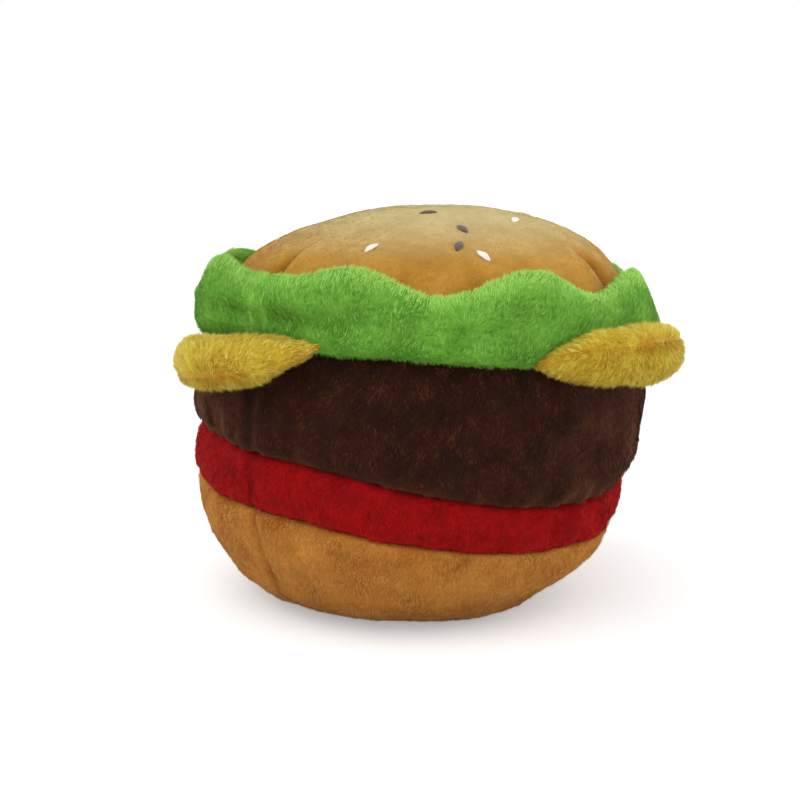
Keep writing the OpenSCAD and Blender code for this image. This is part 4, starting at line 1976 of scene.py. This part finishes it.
@dataclass
class Stuffing:
    """Fibre that fills the body inside the cloth."""

    form: BodyForm
    gap: float = 4.0
    fill: float = 0.9
    columns: int = 96
    rows: int = 48

    def build(self) -> None:
        """Builds the stuffing as one soft lump."""
        obj = sleeve("stuffing_fibre", self.columns, self.rows)
        unit = places(obj)
        put(obj, self.form.core(azimuth_of(unit), unit[:, 2], self.gap))
        smooth(obj)
        close_mesh(obj)
        obj.data.materials.append(FIBRE_FILL.material())
        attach(obj, ROOT_BODY)
        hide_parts("stuffing")
        LOG.info("%s: %d faces", obj.name, len(obj.data.polygons))


class Burger:
    """The whole toy: builds the stuffing, the panels, the collar and the corners in order."""

    def __init__(self) -> None:
        """Sets up the shared form and the dyer."""
        self.form = BodyForm()
        self.dyer = PlushDyer()

    def build(self) -> None:
        """Builds every piece of the toy."""
        form, dyer = self.form, self.dyer
        Stuffing(form).build()
        SewnBand(form, dyer, "base", PLUSH_BASE, ("base_panel",), fill=0.5, columns=128, rows=18,
                 turned_low=0.0, turned_high=0.0, pressure=0.0, flat_plan=True).build(form.base)
        SewnBand(form, dyer, "heel", PLUSH_BUN, ("heel_band",), seam_line=0.01, rows=46, turned_low=0.0,
                 foot_shade=0.34).build(form.heel)
        SewnBand(form, dyer, "tomato", PLUSH_TOMATO, ("tomato_band",), seam_line=0.01,
                 rows=22).build(form.tomato)
        SewnBand(form, dyer, "patty", PLUSH_PATTY, ("patty_band",), seam_line=0.01,
                 rows=36).build(form.patty)
        Crown(form, dyer, "crown_dome", PLUSH_CROWN, ("crown",), rows=54, turned_low=0.0, turned_high=0.0,
              flat_plan=True).build(DomeForm(form).points)
        # The lettuce's rolled top edge carries a painted highlight.
        LettuceCollar(form, dyer, "lettuce", PLUSH_LETTUCE, ("lettuce_collar",), fill=0.5, seam_tone=0.65,
                      seam_line=1.5, highlight_share=0.445).build()
        shapes = (
            CheeseForm(form, Corner.FRONT_LEFT, reach=16.3, swell=6.2, rise=0.0, skew=0.05, twist=3.2,
                       left_taper=0.74, right_taper=0.95, parting=-0.4, loft=0.2),
            CheeseForm(form, Corner.FRONT_RIGHT, reach=16.2, swell=6.9, rise=-1.6, skew=-0.14, twist=-0.7,
                       left_taper=0.9, right_taper=0.8, parting=0.4, loft=-0.04),
            CheeseForm(form, Corner.BACK_RIGHT, rise=-0.5),
            CheeseForm(form, Corner.BACK_LEFT, rise=0.5),
        )
        for shape in shapes:
            name = f"cheese_{shape.corner.short}"
            nodes = (f"{name}_upper", f"{name}_lower")
            CheeseCorner(form, dyer, name, PLUSH_CHEESE, nodes, fill=0.8, shape=shape).build()


@dataclass(frozen=True)
class Lamp:
    """A broad soft lamp. Its place in metres sets its direction, and its spread is in degrees."""

    name: str
    place: tuple[float, float, float]
    spread: float
    strength: float


@dataclass
class Studio:
    """Camera, soft light and pale floor. Lengths are metres here."""

    LAMPS: ClassVar[tuple[Lamp, ...]] = (
        Lamp("key", (-0.35, -0.3, 0.8), 70, 1.0),
        Lamp("fill", (0.4, -0.7, 0.35), 80, 0.7),
        Lamp("side_right", (0.95, 0.2, 0.25), 70, 0.9),
        Lamp("side_left", (-0.95, 0.0, 0.35), 70, 0.45),
    )

    distance: float = 0.350
    elevation: float = math.radians(10.5)
    roll: float = math.radians(0.3)
    aim: tuple[float, float, float] = (-0.0039, 0.0, 0.0472)
    focal_pixels: float = 1415.0
    image_pixels: float = 800.0
    sensor: float = 36.0
    nearest: float = 0.01
    floor_size: float = 60.0
    floor_grey: float = 0.85
    floor_glow: float = 0.35
    sky: float = 0.66

    def camera(self) -> None:
        """Sets the camera at the photograph's viewing angle."""
        data = bpy.data.cameras.new("camera")
        data.sensor_width = self.sensor
        data.lens = self.focal_pixels * self.sensor / self.image_pixels
        data.clip_start = self.nearest
        camera = bpy.data.objects.new("camera", data)
        back = Vector((0, -math.cos(self.elevation), math.sin(self.elevation)))
        right = Vector((1, 0, 0))
        up = back.cross(right)
        across = right * math.cos(self.roll) + up * math.sin(self.roll)
        top = up * math.cos(self.roll) - right * math.sin(self.roll)
        place = Vector(self.aim) + back * self.distance
        axes = Matrix((across, top, back)).transposed().to_4x4()
        camera.matrix_world = Matrix.Translation(place) @ axes
        bpy.context.scene.collection.objects.link(camera)
        bpy.context.scene.camera = camera

    def hang(self, lamp: Lamp) -> None:
        """Adds a lamp as a sun, which lights the whole floor evenly.

        Args:
            lamp: the lamp.
        """
        data = bpy.data.lights.new(lamp.name, "SUN")
        data.angle = math.radians(lamp.spread)
        data.energy = lamp.strength
        sun = bpy.data.objects.new(lamp.name, data)
        sun.location = lamp.place
        sun.rotation_euler = (Vector(self.aim) - Vector(lamp.place)).to_track_quat("-Z", "Y").to_euler()
        bpy.context.scene.collection.objects.link(sun)

    def showing_rays(self, tree: bpy.types.NodeTree) -> bpy.types.NodeSocket:
        """Finds the rays that show the background: to the camera, and off or through a shiny surface.

        Args:
            tree: node tree that uses the rays.

        Returns:
            A socket that is 1 for such a ray.
        """
        path = tree.nodes.new("ShaderNodeLightPath")
        total = path.outputs["Is Camera Ray"]
        for name in ("Is Glossy Ray", "Is Transmission Ray"):
            add = tree.nodes.new("ShaderNodeMath")
            add.operation = "ADD"
            add.use_clamp = True
            tree.links.new(total, add.inputs[0])
            tree.links.new(path.outputs[name], add.inputs[1])
            total = add.outputs["Value"]
        return total

    def floor(self) -> None:
        """Lays the pale floor, which is white to the camera and keeps the shadow."""
        deselect_all()
        bpy.ops.mesh.primitive_plane_add(size=self.floor_size, location=(0, 0, 0))
        floor = bpy.context.object
        floor.name = "floor"
        graph = NodeGraph("floor_white")
        graph.set("Base Color", (self.floor_grey, self.floor_grey, self.floor_grey, 1))
        graph.set("Roughness", 0.9)
        glow = graph.nodes.new("ShaderNodeEmission")
        glow.inputs["Strength"].default_value = self.floor_glow
        clear = graph.nodes.new("ShaderNodeBsdfTransparent")
        clear.inputs["Color"].default_value = (0, 0, 0, 1)
        seen = graph.nodes.new("ShaderNodeMixShader")
        both = graph.nodes.new("ShaderNodeAddShader")
        graph.links.new(self.showing_rays(graph.material.node_tree), seen.inputs[0])
        graph.links.new(clear.outputs[0], seen.inputs[1])
        graph.links.new(glow.outputs[0], seen.inputs[2])
        graph.links.new(graph.shader.outputs[0], both.inputs[0])
        graph.links.new(seen.outputs[0], both.inputs[1])
        graph.links.new(both.outputs[0], graph.nodes["Material Output"].inputs["Surface"])
        floor.data.materials.append(graph.material)

    def world(self) -> None:
        """Gives a soft even light all round and a white backdrop to the camera."""
        world = bpy.data.worlds.new("studio")
        world.use_nodes = True
        nodes, links = world.node_tree.nodes, world.node_tree.links
        light = nodes["Background"]
        light.inputs["Color"].default_value = (1, 1, 1, 1)
        light.inputs["Strength"].default_value = self.sky
        white = nodes.new("ShaderNodeBackground")
        white.inputs["Color"].default_value = (1, 1, 1, 1)
        white.inputs["Strength"].default_value = 1.0
        pick = nodes.new("ShaderNodeMixShader")
        links.new(self.showing_rays(world.node_tree), pick.inputs[0])
        links.new(light.outputs[0], pick.inputs[1])
        links.new(white.outputs[0], pick.inputs[2])
        links.new(pick.outputs[0], nodes["World Output"].inputs["Surface"])
        bpy.context.scene.world = world

    def build(self) -> None:
        """Builds the whole studio."""
        bpy.context.scene.view_settings.view_transform = "Standard"
        self.camera()
        for lamp in self.LAMPS:
            self.hang(lamp)
        self.floor()
        self.world()


def main() -> None:
    """Builds the studio and the toy."""
    Studio().build()
    Burger().build()


if __name__ == "__main__":
    main()
